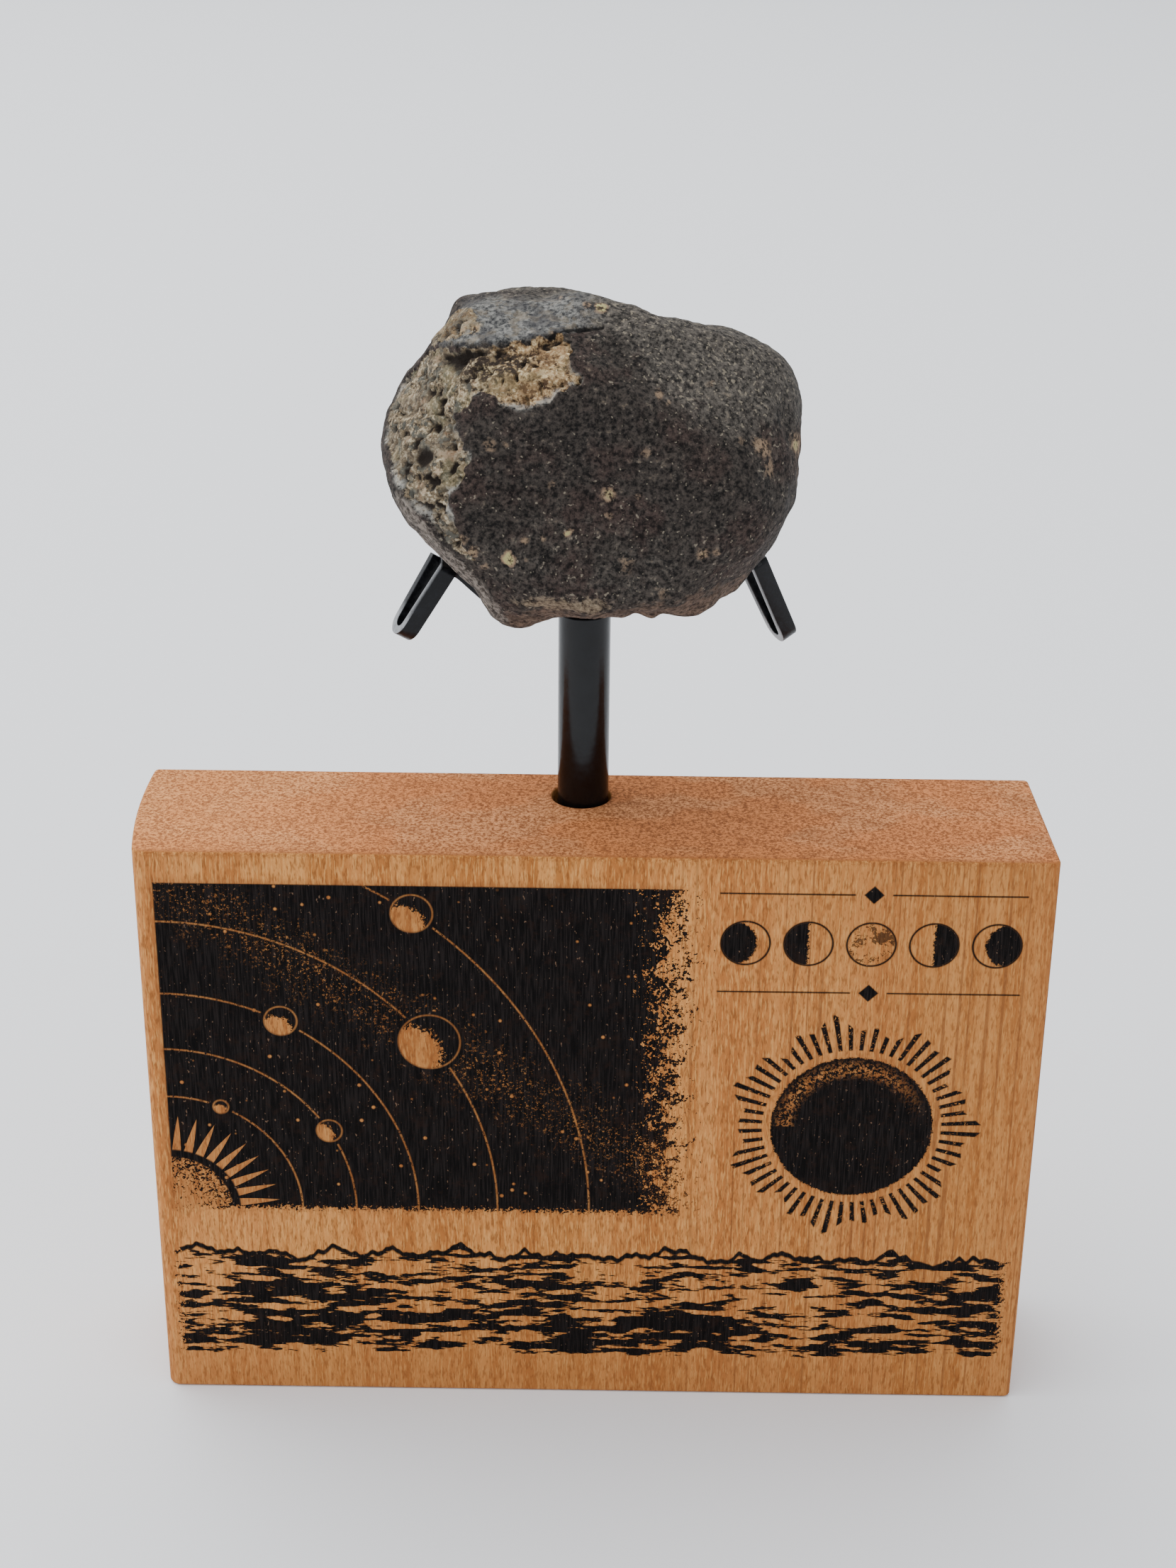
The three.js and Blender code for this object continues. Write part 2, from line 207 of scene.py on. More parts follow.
def tone(red, green, blue):
    """A colour given as it looks on a screen, 0 to 255, in the linear numbers of shaders."""
    screen = np.array([red, green, blue]) / 255.0
    linear = np.where(screen <= 0.04045, screen / 12.92, ((screen + 0.055) / 1.055) ** 2.4)
    return (*linear.tolist(), 1.0)


def plug(socket, value):
    """Feeds a socket with a Field, a socket, a number or a colour of three screen values."""
    if isinstance(value, Field):
        value = value.socket
    if isinstance(value, bpy.types.NodeSocket):
        socket.id_data.links.new(value, socket)
    else:
        socket.default_value = tone(*value) if isinstance(value, tuple) else value


print("screen grey 128 in a shader:", round(tone(128, 128, 128)[0], 3))

# %% [markdown]
# ## Patterns and colours
#
# Noise makes soft patches and packed cells make grains. A pattern goes through rise, which
# makes an S-curve between two limits, and says with it how thickly one colour lies on
# another. A finish is a first colour and a list of such coats.

# %% Patterns


def rise(field, low, high, to_low=0.0, to_high=1.0):
    """Goes smoothly from to_low to to_high while the field goes from low to high."""
    node = field.tree.nodes.new("ShaderNodeMapRange")
    node.interpolation_type = "SMOOTHSTEP"
    limits = {"From Min": low, "From Max": high, "To Min": to_low, "To Max": to_high}
    for name, value in {"Value": field, **limits}.items():
        plug(node.inputs[name], value)
    return Field(node.outputs["Result"])


def mapped(vector, name, value):
    """The same places, with each axis multiplied (Scale) or turned (Rotation, in radians)."""
    node = vector.id_data.nodes.new("ShaderNodeMapping")
    plug(node.inputs["Vector"], vector)
    node.inputs[name].default_value = value
    return node.outputs["Vector"]


def parts_of(vector, scale=1.0):
    """The three parts of a vector as Fields, each times the scale."""
    node = vector.id_data.nodes.new("ShaderNodeSeparateXYZ")
    plug(node.inputs["Vector"], vector)
    return [Field(node.outputs[name]) * scale for name in "XYZ"]


def noise(vector, size, detail, roughness, stretch=None):
    """Soft noise between 0 and 1, with patches of about size mm. A stretch under 1 along an
    axis draws them out to streaks."""
    if stretch:
        vector = mapped(vector, "Scale", stretch)
    node = vector.id_data.nodes.new("ShaderNodeTexNoise")
    settings = {"Scale": 1.0 / (size * MM), "Detail": detail, "Roughness": roughness}
    for name, value in {"Vector": vector, **settings}.items():
        plug(node.inputs[name], value)
    return Field(node.outputs["Fac"])


def grains(vector, size):
    """Packed grains of about size mm: distance from the middle, and a lot per grain."""
    node = vector.id_data.nodes.new("ShaderNodeTexVoronoi")
    plug(node.inputs["Vector"], vector)
    plug(node.inputs["Scale"], 1.0 / (size * MM))
    split = vector.id_data.nodes.new("ShaderNodeSeparateColor")
    plug(split.inputs["Color"], node.outputs["Color"])
    return Field(node.outputs["Distance"]), Field(split.outputs["Red"])


def attribute(tree, name):
    """A number that numpy worked out for each point of the mesh."""
    node = tree.nodes.new("ShaderNodeAttribute")
    node.attribute_name = name
    return Field(node.outputs["Fac"])


print("patterns: noise, grains and attribute")

# %% Colours and coats


def blend(amount, below, above):
    """One colour laid over another, as thick as amount says."""
    node = amount.tree.nodes.new("ShaderNodeMix")
    node.data_type = "RGBA"
    for name, value in {"Factor": amount, "A": below, "B": above}.items():
        plug(node.inputs[name], value)
    return node.outputs["Result"]


def layered(colour, *coats):
    """Lays coats over a first colour in turn. Each is how thick it is and its own colour."""
    for amount, coat in coats:
        colour = blend(amount, colour, coat)
    return colour


def new_finish(name, **constants):
    """A material with a bare shader. Constants go straight onto the shader's own sockets."""
    material = bpy.data.materials.new(name)
    material.use_nodes = True
    tree = material.node_tree
    shader = tree.nodes["Principled BSDF"]
    for socket, value in constants.items():
        shader.inputs[socket.replace("_", " ")].default_value = value
    places = tree.nodes.new("ShaderNodeTexCoord").outputs["Object"]
    return material, tree, shader, places


def raise_surface(shader, height, depth):
    """Lets a height field of 0 to 1 tilt the light as if it stood depth mm proud."""
    node = shader.id_data.nodes.new("ShaderNodeBump")
    plug(node.inputs["Distance"], depth * MM)
    plug(node.inputs["Height"], height)
    plug(shader.inputs["Normal"], node.outputs["Normal"])


print("colours: blend and layered")

# %% [markdown]
# ## The stone's broad form
#
# The stone is a rounded block of broad flats with soft corners. Each flat is a plane at some
# distance from the centre. Summing a high power of the plane distances gives a surface that
# follows the planes and rounds the corners between them, and it stays a single function of
# the direction that a point is seen in from the centre.

# %% Broad form
STONE_CENTRE = np.array([-0.6, 6.0, 116.5])
FACE_TILT = math.radians(18.0)
CORNER_SHARPNESS = 18
STONE_REACH = 20.0
FACE_AXES = np.array([
    [1.0, 0.0, 0.0],
    [0.0, math.sin(FACE_TILT), math.cos(FACE_TILT)],
    [0.0, -math.cos(FACE_TILT), math.sin(FACE_TILT)],
])
# Clock angle round the face, lean towards the viewer and distance from the centre in mm.
FLATS = np.array([
    (272, -18, 15.2), (300, -8, 22.0), (324, -6, 22.8), (347, 2, 23.4), (9, -2, 24.9),
    (44, -4, 23.6), (77, 0, 17.2), (94, 4, 21.2), (113, 2, 21.0), (139, 0, 21.9),
    (158, 4, 24.0), (187, 2, 23.0), (222, -10, 19.0),
    (270, 77, 15.6), (58, 50, 17.6), (166, 42, 21.0), (97, 42, 18.8),
    (3, 31, 22.6), (305, 28, 20.8), (226, 28, 20.9), (268, 22, 19.5),
    (60, -80, 16.0), (158, -46, 19.0), (18, -45, 19.5),
    (262, -48, 18.0), (74, -42, 17.0), (312, -40, 20.0),
])
# Clock angle, lean, half width and height in mm.
LUMPS = np.array([
    (246, 6, 3.8, 2.3), (130, 6, 2.4, 0.35), (66, 2, 5.0, -1.1), (106, 0, 4.0, 0.6),
    (283, 16, 1.6, 0.5), (301, 11, 3.2, 0.75), (169, 0, 4.5, 0.8), (151, 0, 2.6, 0.35),
    (24, 0, 6.0, 0.4), (341, 13, 3.0, -0.45), (220, 14, 3.0, -0.5), (187, 13, 1.8, -0.45),
    (66, 20, 2.2, -0.45),
])
SWELL_WAVES = 9
GOLDEN_ANGLE = 2.399963


def directions(clock, lean):
    """Unit arrows in the face's axes for clock angles and leans in degrees."""
    around = np.radians(clock)
    out = np.radians(lean)
    return np.stack([np.cos(around) * np.cos(out), np.sin(around) * np.cos(out), np.sin(out)], -1)


def flats_radius(rays):
    """One over the root of order 18 of the summed 18th powers of (ray . normal / reach)."""
    nearness = np.maximum(rays @ directions(FLATS[:, 0], FLATS[:, 1]).T / FLATS[:, 2], 0.0)
    return (nearness ** CORNER_SHARPNESS).sum(-1) ** (-1.0 / CORNER_SHARPNESS)


def lump_height(rays, lumps):
    """A bell curve round each lump's direction, times its height."""
    away = 2.0 * (1.0 - rays @ directions(lumps[:, 0], lumps[:, 1]).T)
    return (lumps[:, 3] * np.exp(-away * (STONE_REACH / lumps[:, 2]) ** 2)).sum(-1)


def swell(points, length, height, seed):
    """Nine sine waves whose directions are spread over a sphere, added up."""
    k = np.arange(1, SWELL_WAVES + 1)
    y = 1.0 - 2.0 * (k - 0.5) / SWELL_WAVES
    ring = np.sqrt(1.0 - y * y)
    angle = GOLDEN_ANGLE * k + seed
    waves = np.stack([ring * np.cos(angle), y, ring * np.sin(angle)], -1)
    waves *= (1.0 + 0.35 * np.sin(seed * 3.1 + k * 1.7))[:, None]
    phase = 2.0 * math.pi * (points @ waves.T) / length + seed * 5.3 + k * k
    return height * np.sin(phase).sum(-1) / math.sqrt(SWELL_WAVES / 2.0)


print("flats:", len(FLATS), "lumps:", len(LUMPS))

# %% [markdown]
# ## Places on the broad face
#
# Crust broke away on the upper left and left a rough pale patch under a proud slab. To
# place such things, a direction is turned into two lengths measured along the surface from
# the middle of the face: across and up. An outline drawn with those two numbers then gives
# how deep a point lies inside it.

# %% Patch and ledge
BROKEN_PATCH = np.array([
    (-21.5, 13.6), (-18.4, 12.9), (-15.8, 12.3), (-13.4, 12.2), (-11.4, 12.5), (-8.9, 13.2),
    (-7.4, 13.8), (-5.4, 14.6), (-4.4, 15.0), (-3.2, 13.8), (-1.6, 9), (-3, 7.2), (-7.5, 5.2),
    (-12, 6.8), (-15.7, 4.5), (-14.3, 0), (-14.4, -2), (-15.8, -4.4), (-15.9, -7.4),
    (-15.2, -10), (-14.6, -12.6), (-16.6, -10.5), (-18.2, -7.8), (-19.8, -5.6), (-22.0, -3.4),
    (-24.6, -0.8), (-27.0, 2.7), (-28.9, 7), (-27.8, 11.2),
])
SLAB_END = np.array([
    (-19.4, 20.2), (-16.4, 18.8), (-13.2, 16.0), (-14.0, 13.6), (-16.2, 12.6), (-18.0, 12.9),
    (-20.0, 14.4), (-22.5, 15.4), (-22.0, 18.5),
])
LEDGE_LINE = np.array([
    (-19.5, 13.6), (-18.4, 12.9), (-15.8, 12.3), (-13.4, 12.2), (-11.4, 12.5), (-8.9, 13.2),
    (-7.4, 13.8), (-5.4, 14.6), (-1.6, 16.6), (1.2, 17.3),
])
CRACK_LINE = np.array([(-5.4, 14.6), (-4.0, 15.4), (-1.6, 16.6), (1.2, 17.3)])
# Above this line the crust turns grey with more pale grains, partly as painted light where the
# face turns up.
GREY_AND_LIGHT_LINE = np.array([(-8, 24), (1.7, 17), (8.7, 7.5), (15, 5.2), (22, 4.5), (30, 7)])
print("points of the patch's outline:", len(BROKEN_PATCH))

# %% Distances on the face


def face_places(rays):
    """Across and up in mm: the angle from the face's middle times 20 mm, along each axis."""
    angle = np.arccos(np.clip(rays[..., 2], -1.0, 1.0))
    flat = np.hypot(rays[..., 0], rays[..., 1]) + 1e-9
    return STONE_REACH * angle * rays[..., 0] / flat, STONE_REACH * angle * rays[..., 1] / flat


def line_distance(line, across, up):
    """Distance to the nearest of the straight pieces between the points of a line. The foot
    of the perpendicular is held between the piece's two ends."""
    nearest = np.full(across.shape, np.inf)
    for (x0, y0), (x1, y1) in zip(line[:-1], line[1:]):
        run, climb = x1 - x0, y1 - y0
        along = np.clip(((across - x0) * run + (up - y0) * climb) / (run**2 + climb**2), 0.0, 1.0)
        away = np.hypot(across - x0 - along * run, up - y0 - along * climb)
        nearest = np.minimum(nearest, away)
    return nearest


def depth_inside(outline, across, up):
    """Distance to the nearest edge of an outline: positive inside it, negative outside. A
    point is inside if a level line from it crosses an odd number of edges."""
    closed = np.concatenate([outline, outline[:1]])
    inside = np.zeros(across.shape, dtype=bool)
    for (x0, y0), (x1, y1) in zip(closed[:-1], closed[1:]):
        if y1 != y0:
            meets = across < x0 + (up - y0) * (x1 - x0) / (y1 - y0)
            inside ^= ((y0 > up) != (y1 > up)) & meets
    return np.where(inside, 1.0, -1.0) * line_distance(closed, across, up)


edge_test = depth_inside(SLAB_END, np.array([-18.0]), np.array([16.0]))
print("depth of a place in the slab's end in mm:", np.round(edge_test, 1))

# %% Curves and soft noise


def smooth(values, low, high):
    """0 below low, 1 above high and an S-curve between."""
    share = np.clip((values - low) / (high - low), 0.0, 1.0)
    return share * share * (3.0 - 2.0 * share)


def fall(values, low, high):
    """1 below low and 0 above high: one less the S-curve."""
    return 1.0 - smooth(values, low, high)


def bell(values, width):
    """1 at 0 and nearly 0 past twice the width: e to the minus (value over width) squared."""
    return np.exp(-((values / width) ** 2))


def lattice(cells, seed):
    """A steady lot between 0 and 1 for each whole-numbered cell."""
    mixed = cells @ np.array([12.9898, 78.233, 37.719]) + seed * 4.137
    return np.abs(np.sin(mixed) * 43758.5453) % 1.0


def soft_noise(points, size, seed):
    """Lots at the corners of a cubic lattice, blended smoothly between them, -1 to 1."""
    scaled = points / size
    cell = np.floor(scaled)
    part = scaled - cell
    part = part * part * (3.0 - 2.0 * part)
    total = np.zeros(points.shape[:-1])
    for corner in np.ndindex(2, 2, 2):
        step = np.array(corner)
        weight = np.prod(np.where(step == 1, part, 1.0 - part), axis=-1)
        total += weight * lattice(cell + step, seed)
    return 2.0 * total - 1.0


print("a quarter of the way along the S-curve:", smooth(0.25, 0.0, 1.0))

# %% [markdown]
# ## The stone's surface
#
# The grid runs round the stone in columns and from its lower pole to its upper pole in rows.
# The columns crowd together on the broad face, where the detail is. Relief is added along
# each direction: the slab stands proud, the patch is sunk and crumbly, and both keep ragged
# borders because noise is added to the distances that draw them.

# %% Grid of directions
COLUMNS = 400
ROWS = 244
FRONT_CROWDING = 0.42


def stone_rays():
    """Directions of the grid: longitude round the stone, crowded in front, and latitude."""
    turn = 2.0 * math.pi * np.arange(COLUMNS) / COLUMNS
    longitude = turn - FRONT_CROWDING * np.sin(turn)
    latitude = math.pi * ((np.arange(ROWS) + 0.5) / ROWS - 0.5)
    across = np.cos(latitude)[:, None] * np.sin(longitude)
    out = np.cos(latitude)[:, None] * np.cos(longitude)
    return np.stack([across, np.broadcast_to(np.sin(latitude)[:, None], across.shape), out], -1)


rays = stone_rays()
base = flats_radius(rays)
core = rays * base[..., None]
across, up_face = face_places(rays)


def rough(*waves):
    """Soft noises at the stone's places, added up. Each is its height, size in mm and seed."""
    return sum(height * soft_noise(core, size, seed) for height, size, seed in waves)


def far_from(place_across, place_up):
    """Distance on the face from a place, in mm."""
    return np.hypot(across - place_across, up_face - place_up)


print("stone grid:", base.shape, "face map reaches mm:", round(float(across.max()), 1))

# %% [markdown]
# ## Broken patch, slab and crack
#
# The patch is crumbly: two noises of different size are added, and where their sum is low
# the stone has crumbled out. Under the slab a shallow groove comes and goes, and a hairline
# crack runs on from the slab's end. Numbers that the finish needs are kept as they are made.

# %% Slab and crack
LEDGE_HEIGHT = 0.45
LEDGE_DEPTH = 12.0
UNDERCUT_DEPTH = 0.75
UNDERCUT_WIDTH = 0.75
CRACK_DEPTH = 0.3
wander = rough((0.55, 1.6, 5), (0.4, 0.7, 6))
depth = depth_inside(BROKEN_PATCH, across, up_face) + wander
broken = smooth(depth, -0.25, 0.3)
ledge_up = up_face - np.interp(across, *LEDGE_LINE.T) + 1.1 * wander
ledge_span = smooth(across, -20.0, -17.0) * fall(across, -4.0, 3.0)
slab = smooth(ledge_up, -0.2, 0.45) * fall(ledge_up, LEDGE_DEPTH / 2, LEDGE_DEPTH)
gaps = smooth(rough((1.0, 2.6, 8)), -0.35, 0.35)
undercut = gaps * broken * bell(ledge_up + UNDERCUT_WIDTH, UNDERCUT_WIDTH)
crack = fall(line_distance(CRACK_LINE, across, up_face) + 0.25 * np.abs(wander), 0.1, 0.45)
print("share of the stone that is broken:", round(float(broken.mean()), 3))

# %% Broken patch
PATCH_DEPTH = 0.5
CRUMBLE_DEPTH = 0.6
# Share of crumbling at which the surface keeps its height.
CRUMBLE_LEVEL = 0.35
RIM_INSET, RIM_WIDTH = 0.15, 0.22
DARK_NOTCH = (-14.5, 5.2)
# Across, up, half width and depth in mm.
PITS = np.array([
    (-19.4, -0.4, 1.3, 1.1), (-8.4, 10.9, 1.3, 0.4), (-15.9, 11.1, 1.5, 0.8),
    (-11.0, 11.2, 1.3, 0.5), (-22.5, 5.5, 0.8, 0.5), (-18.3, -2.9, 1.0, 0.7),
    (-17.6, 6.6, 0.8, 0.6), (-17.0, -4.6, 0.8, 0.5), (-18.6, 3.4, 0.7, 0.5),
    (-24.0, 8.4, 0.8, 0.5),
])
crumbs = rough((0.45, 0.75, 41), (0.45, 0.45, 42))
crumbs += 0.6 * smooth(-across, 10.0, 16.0) * rough((1.0, 1.35, 43))
crumbled = smooth(-crumbs, 0.0, 0.55)
pit_depth = sum(
    deep * bell(far_from(pit_across, pit_up) + 0.5 * wander, width)
    for pit_across, pit_up, width, deep in PITS
)
relief = ledge_span * (LEDGE_HEIGHT * slab - UNDERCUT_DEPTH * undercut) - PATCH_DEPTH * broken
sunk = broken * CRUMBLE_DEPTH * (crumbled - CRUMBLE_LEVEL)
relief -= pit_depth * broken + sunk + CRACK_DEPTH * crack
# Painted shade: how dark the crumbled hollows, the pits and the undercut under the slab are drawn.
hollow_shade = np.clip(0.8 * crumbled + pit_depth + undercut * ledge_span, 0.0, 1.0) * broken
slab_end = smooth(depth_inside(SLAB_END, across, up_face) + 2.2 * wander, -0.4, 0.6)
relief -= CRUMBLE_DEPTH * slab_end * (crumbled - CRUMBLE_LEVEL)
hollow_shade = np.maximum(hollow_shade, 0.7 * crumbled * slab_end)

rim = bell(depth - RIM_INSET, RIM_WIDTH) * smooth(rough((1.0, 2.2, 9)), -0.25, 0.25)
rim *= fall(up_face, 9.0, 12.0) * smooth(up_face, -9.5, -5.5)
rim *= smooth(far_from(*DARK_NOTCH), 1.2, 2.6)
# Painted shadow on the patch's right lobe, just under the slab's ledge.
lobe = np.hypot((across + 11.0) / 4.6, (up_face - 11.6 - 0.12 * across) / 2.0) + 0.5 * wander
painted_lobe_shadow = fall(lobe, 0.6, 1.3) * broken
print("deepest pit in mm:", round(float(pit_depth.max()), 2))

# %% [markdown]
# ## Crust
#
# The crust is sandy. Its lower left flank is combed by fine grooves that run down with the
# edge. Pale grains, rust and dust show through in places. The grooves are a soft noise that
# is read on squeezed places, so that it comes out long and narrow.

# %% Flank
FLANK_MIDDLE = (-15.0, -12.8)
FLANK_RUN = (0.478, -0.878)
FLANK_OUT = (-0.878, -0.478)
COMB_LENGTH, COMB_WIDTH = 4.5, 0.5
flank_run, flank_out = (
    (across - FLANK_MIDDLE[0]) * way[0] + (up_face - FLANK_MIDDLE[1]) * way[1]
    for way in (FLANK_RUN, FLANK_OUT)
)
flank = smooth(flank_out, 0.2, 2.2) * fall(flank_out, 12.0, 16.0)
flank *= fall(np.abs(flank_run) + 3.0 * wander, 7.0, 14.0) * (1.0 - broken)
squeezed = [flank_run / COMB_LENGTH, flank_out / COMB_WIDTH + 1.2 * wander, 0.0 * base]
grooves = soft_noise(np.stack(squeezed, -1), 1.0, 51)
print("flank share:", round(float(flank.mean()), 3))

# %% Pale grains, rust and dust
# Across, up and half width in mm and strength of the places where pale grains show.
PALE_SPOTS = np.array([
    (1.2, 20.5, 1.1, 1.0), (2.5, -5.3, 1.2, 0.75), (2.6, -8.0, 0.6, 0.4),
    (-10.3, -13.0, 1.15, 1.0), (-3.2, -10.5, 0.8, 0.85), (-8.6, -10.9, 0.7, 0.72),
    (-6.3, -10.7, 0.55, 0.7), (-8.2, -13.0, 0.5, 0.4), (-12.1, 1.3, 0.7, 0.4),
    (-10.3, 1.3, 0.6, 0.42), (-15.0, -9.6, 0.8, 0.7), (13.3, -11.2, 1.1, 0.72),
    (14.6, -10.9, 0.75, 0.5), (19.9, 1.4, 1.5, 0.6), (20.6, -1.2, 1.5, 0.55),
    (6.8, 0.6, 0.6, 0.4), (8.2, 7.8, 0.9, 0.55), (9.4, 7.0, 0.6, 0.5), (15.0, 9.4, 0.6, 0.35),
    (4.7, -13.7, 1.3, 0.42), (8.6, -9.3, 0.4, 0.4), (6.3, -5.1, 0.4, 0.45),
    (26.5, 1.9, 1.9, 0.8), (-4.6, 15.0, 0.7, 0.6), (17.2, 2.2, 0.5, 0.4),
    (-9.0, 19.0, 0.7, 0.5), (-4.9, 22.2, 1.1, 0.45), (-1.0, 20.8, 0.6, 0.6),
    (-13.2, -13.8, 0.8, 0.5), (-14.2, -11.6, 0.8, 0.66), (9.0, -16.5, 1.0, 0.35),
    (-5.4, -4.0, 0.6, 0.35),
])
DUST_HEIGHT, DUST_WIDTH = 19.2, 1.2
pale = np.zeros_like(base)
for spot_across, spot_up, width, strength in PALE_SPOTS:
    away = far_from(spot_across, spot_up) + 0.8 * wander
    pale = np.maximum(pale, strength * fall(away, 0.2 * width, 1.35 * width))
pale *= 1.0 - broken
foot_rust = smooth(-up_face + 0.12 * across + 3.0 * wander, 16.5, 22.0)
foot_rust *= smooth(rays[..., 2], -0.2, 0.2)
right_rust = smooth(across + 1.5 * wander, 24.0, 27.5) * fall(np.abs(up_face - 1.0), 2.0, 5.5)
rust = np.maximum(foot_rust, 0.7 * right_rust) * (1.0 - flank)
dust = smooth(across, -12.0, -6.5) * fall(across, 0.5, 4.0)
dust *= bell(up_face + DUST_HEIGHT + 0.9 * wander, DUST_WIDTH)
above_line = up_face - np.interp(across, *GREY_AND_LIGHT_LINE.T)
# Partly real grey crust and partly painted light on the side of the face that turns up.
grey_and_painted_light = smooth(above_line + 2.2 * wander + 1.8 * rough((1.0, 4.0, 35)), -6.0, 5.5)
paler_border = np.maximum(smooth(-up_face, 5.0, 13.0), smooth(across, 14.0, 22.0))
grey_and_painted_light = np.maximum(grey_and_painted_light, 0.28 * paler_border)
print("pale spots:", len(PALE_SPOTS))

# %% [markdown]
# ## One radius for each direction
#
# Everything that is raised or sunk is added to the broad form's radius: grit, dents, the
# slab's lumps, the grooves, and last the small knobs and notches that show in the outline.
# The grid then goes round the stone's centre, turned so that its broad face leans back.

# %% Stone surface
# Clock angle, lean, half width and height in mm of the knobs and notches of the foot, and of
# the slab's upper left corner.
KNOBS = np.array([
    (280.3, 20, 1.1, 0.2), (286, 16.5, 1.1, -0.5), (286, 22.5, 1.1, -0.5),
    (291.3, 19.3, 0.8, 0.35), (295, 16.5, 1.0, -0.65), (295, 22.5, 1.0, -0.65),
    (298, 18, 0.8, -0.2), (303.6, 14.8, 1.1, 0.25), (262, 12, 1.0, 0.25),
    (253, 10, 0.9, -0.2), (131, 2, 1.7, 1.0),
])
# Across, up, half width and depth in mm of the shallow dents at the right.
DENTS = np.array([(19.0, 2.4, 2.0, 0.5), (23.6, 4.4, 1.9, 0.35), (21.2, -1.6, 1.2, 0.25)])
GRIT_HEIGHT, GROOVE_HEIGHT, PALE_HEIGHT = 0.11, 0.06, 0.12
grit = rough((0.5, 0.85, 31), (0.5, 0.5, 33))
dents = rough((0.13, 3.4, 32), (0.09, 1.5, 34))
lumpy = rough((0.22, 2.1, 61), (0.13, 0.9, 62))
relief += GRIT_HEIGHT * grit + dents + lumpy * slab * ledge_span
relief += GROOVE_HEIGHT * flank * grooves + PALE_HEIGHT * pale
for dent_across, dent_up, width, deep in DENTS:
    relief -= deep * bell(far_from(dent_across, dent_up), width)
swells = swell(core, 15.0, 0.28, 1.0) + swell(core, 6.0, 0.12, 2.0)
radius = base + lump_height(rays, LUMPS) + lump_height(rays, KNOBS) + relief + swells
stone_points = STONE_CENTRE + (rays * radius[..., None]) @ FACE_AXES
stone_mesh = mesh_from_rings("meteorite_stone", stone_points)
kept_values = {
    "broken": broken, "slab": slab * ledge_span, "hollow_shade": hollow_shade, "crack": crack,
    "pale": pale, "rust": rust, "grey_and_painted_light": grey_and_painted_light, "flank": flank,
    "groove": 0.5 + 0.5 * grooves, "across": across, "rim": rim, "slab_end": slab_end,
    "painted_lobe_shadow": painted_lobe_shadow, "dust": dust,
}
for value_name, values in kept_values.items():
    add_values(stone_mesh, value_name, values)
print("stone reach in mm:", np.round(radius.min(), 1), "to", np.round(radius.max(), 1))

# %% [markdown]
# ## The crust's finish
#
# The crust is matt and sandy. Fine grains of two tones lie side by side, and the tones
# change with the place: nearly black with a hint of red in the middle of the face, olive
# grey with many pale grains at the upper right, where the grey is partly painted light on
# the side that turns up, cool grey on the slab.

# %% Crust finish
stone_look = {"Roughness": 0.85, "Specular_IOR_Level": 0.2}
stone_finish, tree, shader, places = new_finish("dark_crust", **stone_look)
cloud = noise(places, 6.0, 3.0, 0.6)
mottle = noise(places, 1.4, 3.0, 0.6)
sand = noise(places, 0.34, 3.0, 0.7)
seeds = noise(places, 0.46, 1.0, 0.5)
coarse = noise(places, 0.62, 3.0, 0.65)
blotch = noise(places, 2.6, 2.0, 0.5)
grainy = sand * 0.42 + coarse * 0.58
sandy = rise(grainy, 0.37, 0.63)
kept = {value_name: attribute(tree, value_name) for value_name in kept_values}

grey_and_light_amount = rise(kept["grey_and_painted_light"] + mottle.sway(1.6), 0.0, 1.1)
seed_limit = 0.69 - kept["grey_and_painted_light"] * 0.07
seeded = rise(seeds + cloud.sway(0.15), seed_limit, seed_limit + 0.07)
slab_tone = layered(
    blend(sandy, (46, 47, 50), (138, 137, 133)),
    (rise(mottle, 0.5, 0.62) * 0.45, (128, 117, 100)),
    (rise(blotch, 0.5, 0.6) * 0.55, (58, 57, 60)),
)
crust = layered(
    blend(sandy, (10, 8, 8), (70, 63, 58)),
    (rise(cloud, 0.45, 0.62), blend(sandy, (18, 12, 11), (74, 61, 56))),
    # Grey crust, partly painted light at the upper right.
    (grey_and_light_amount, blend(sandy, (27, 25, 24), (101, 95, 88))),
    (seeded * 0.65, (146, 136, 119)),
    (kept["slab"], slab_tone),
)
print("numbers kept on the stone:", len(kept))

# %% [markdown]
# ## Flank, rust and pale grains
#
# The combed flank is a paler grey-brown along its grooves. The foot and the right border are
# dusty and rusty. The pale grains are tan, ochre or olive, each broken up by the same sand.

# %% Flank and spots
combed = kept["groove"] * 0.35 + sandy * 0.4 + mottle * 0.25
flank_tone = blend(rise(combed, 0.25, 0.75), (56, 50, 45), (155, 146, 136))
flank_amount = rise(kept["flank"] + mottle.sway(1.2), 0.1, 0.9)
rust_tone = blend(sandy, (46, 35, 30), (124, 102, 86))
rust_tone = blend(rise(blotch, 0.5, 0.6) * 0.6, rust_tone, (72, 58, 48))
rust_amount = rise(kept["rust"] + mottle.sway(1.8), 0.3, 0.9)
dusty = kept["dust"] + coarse.sway(1.4) + mottle.sway(1.4)
pale_tone = blend(rise(kept["pale"], 0.6, 0.9), (150, 126, 102), (178, 168, 118))
pale_tone = blend(rise(coarse, 0.4, 0.54), (62, 50, 40), pale_tone)
pale_amount = rise(kept["pale"] + coarse.sway(1.2), 0.15, 0.7)
pale_amount *= rise(kept["pale"], 0.0, 0.8, 0.4, 0.95)
crust = layered(
    crust,
    (flank_amount * 0.75, flank_tone),
    (rust_amount * 0.75, rust_tone),
    (rise(dusty, 0.2, 0.9) * 0.65, blend(sandy, (86, 70, 56), (164, 146, 120))),
    (pale_amount, pale_tone),
    # Painted shade, nearly black, in the hairline crack.
    (rise(kept["crack"], 0.35, 0.8) * 0.9, (14, 12, 12)),
)
print("nodes with the spots:", len(tree.nodes))
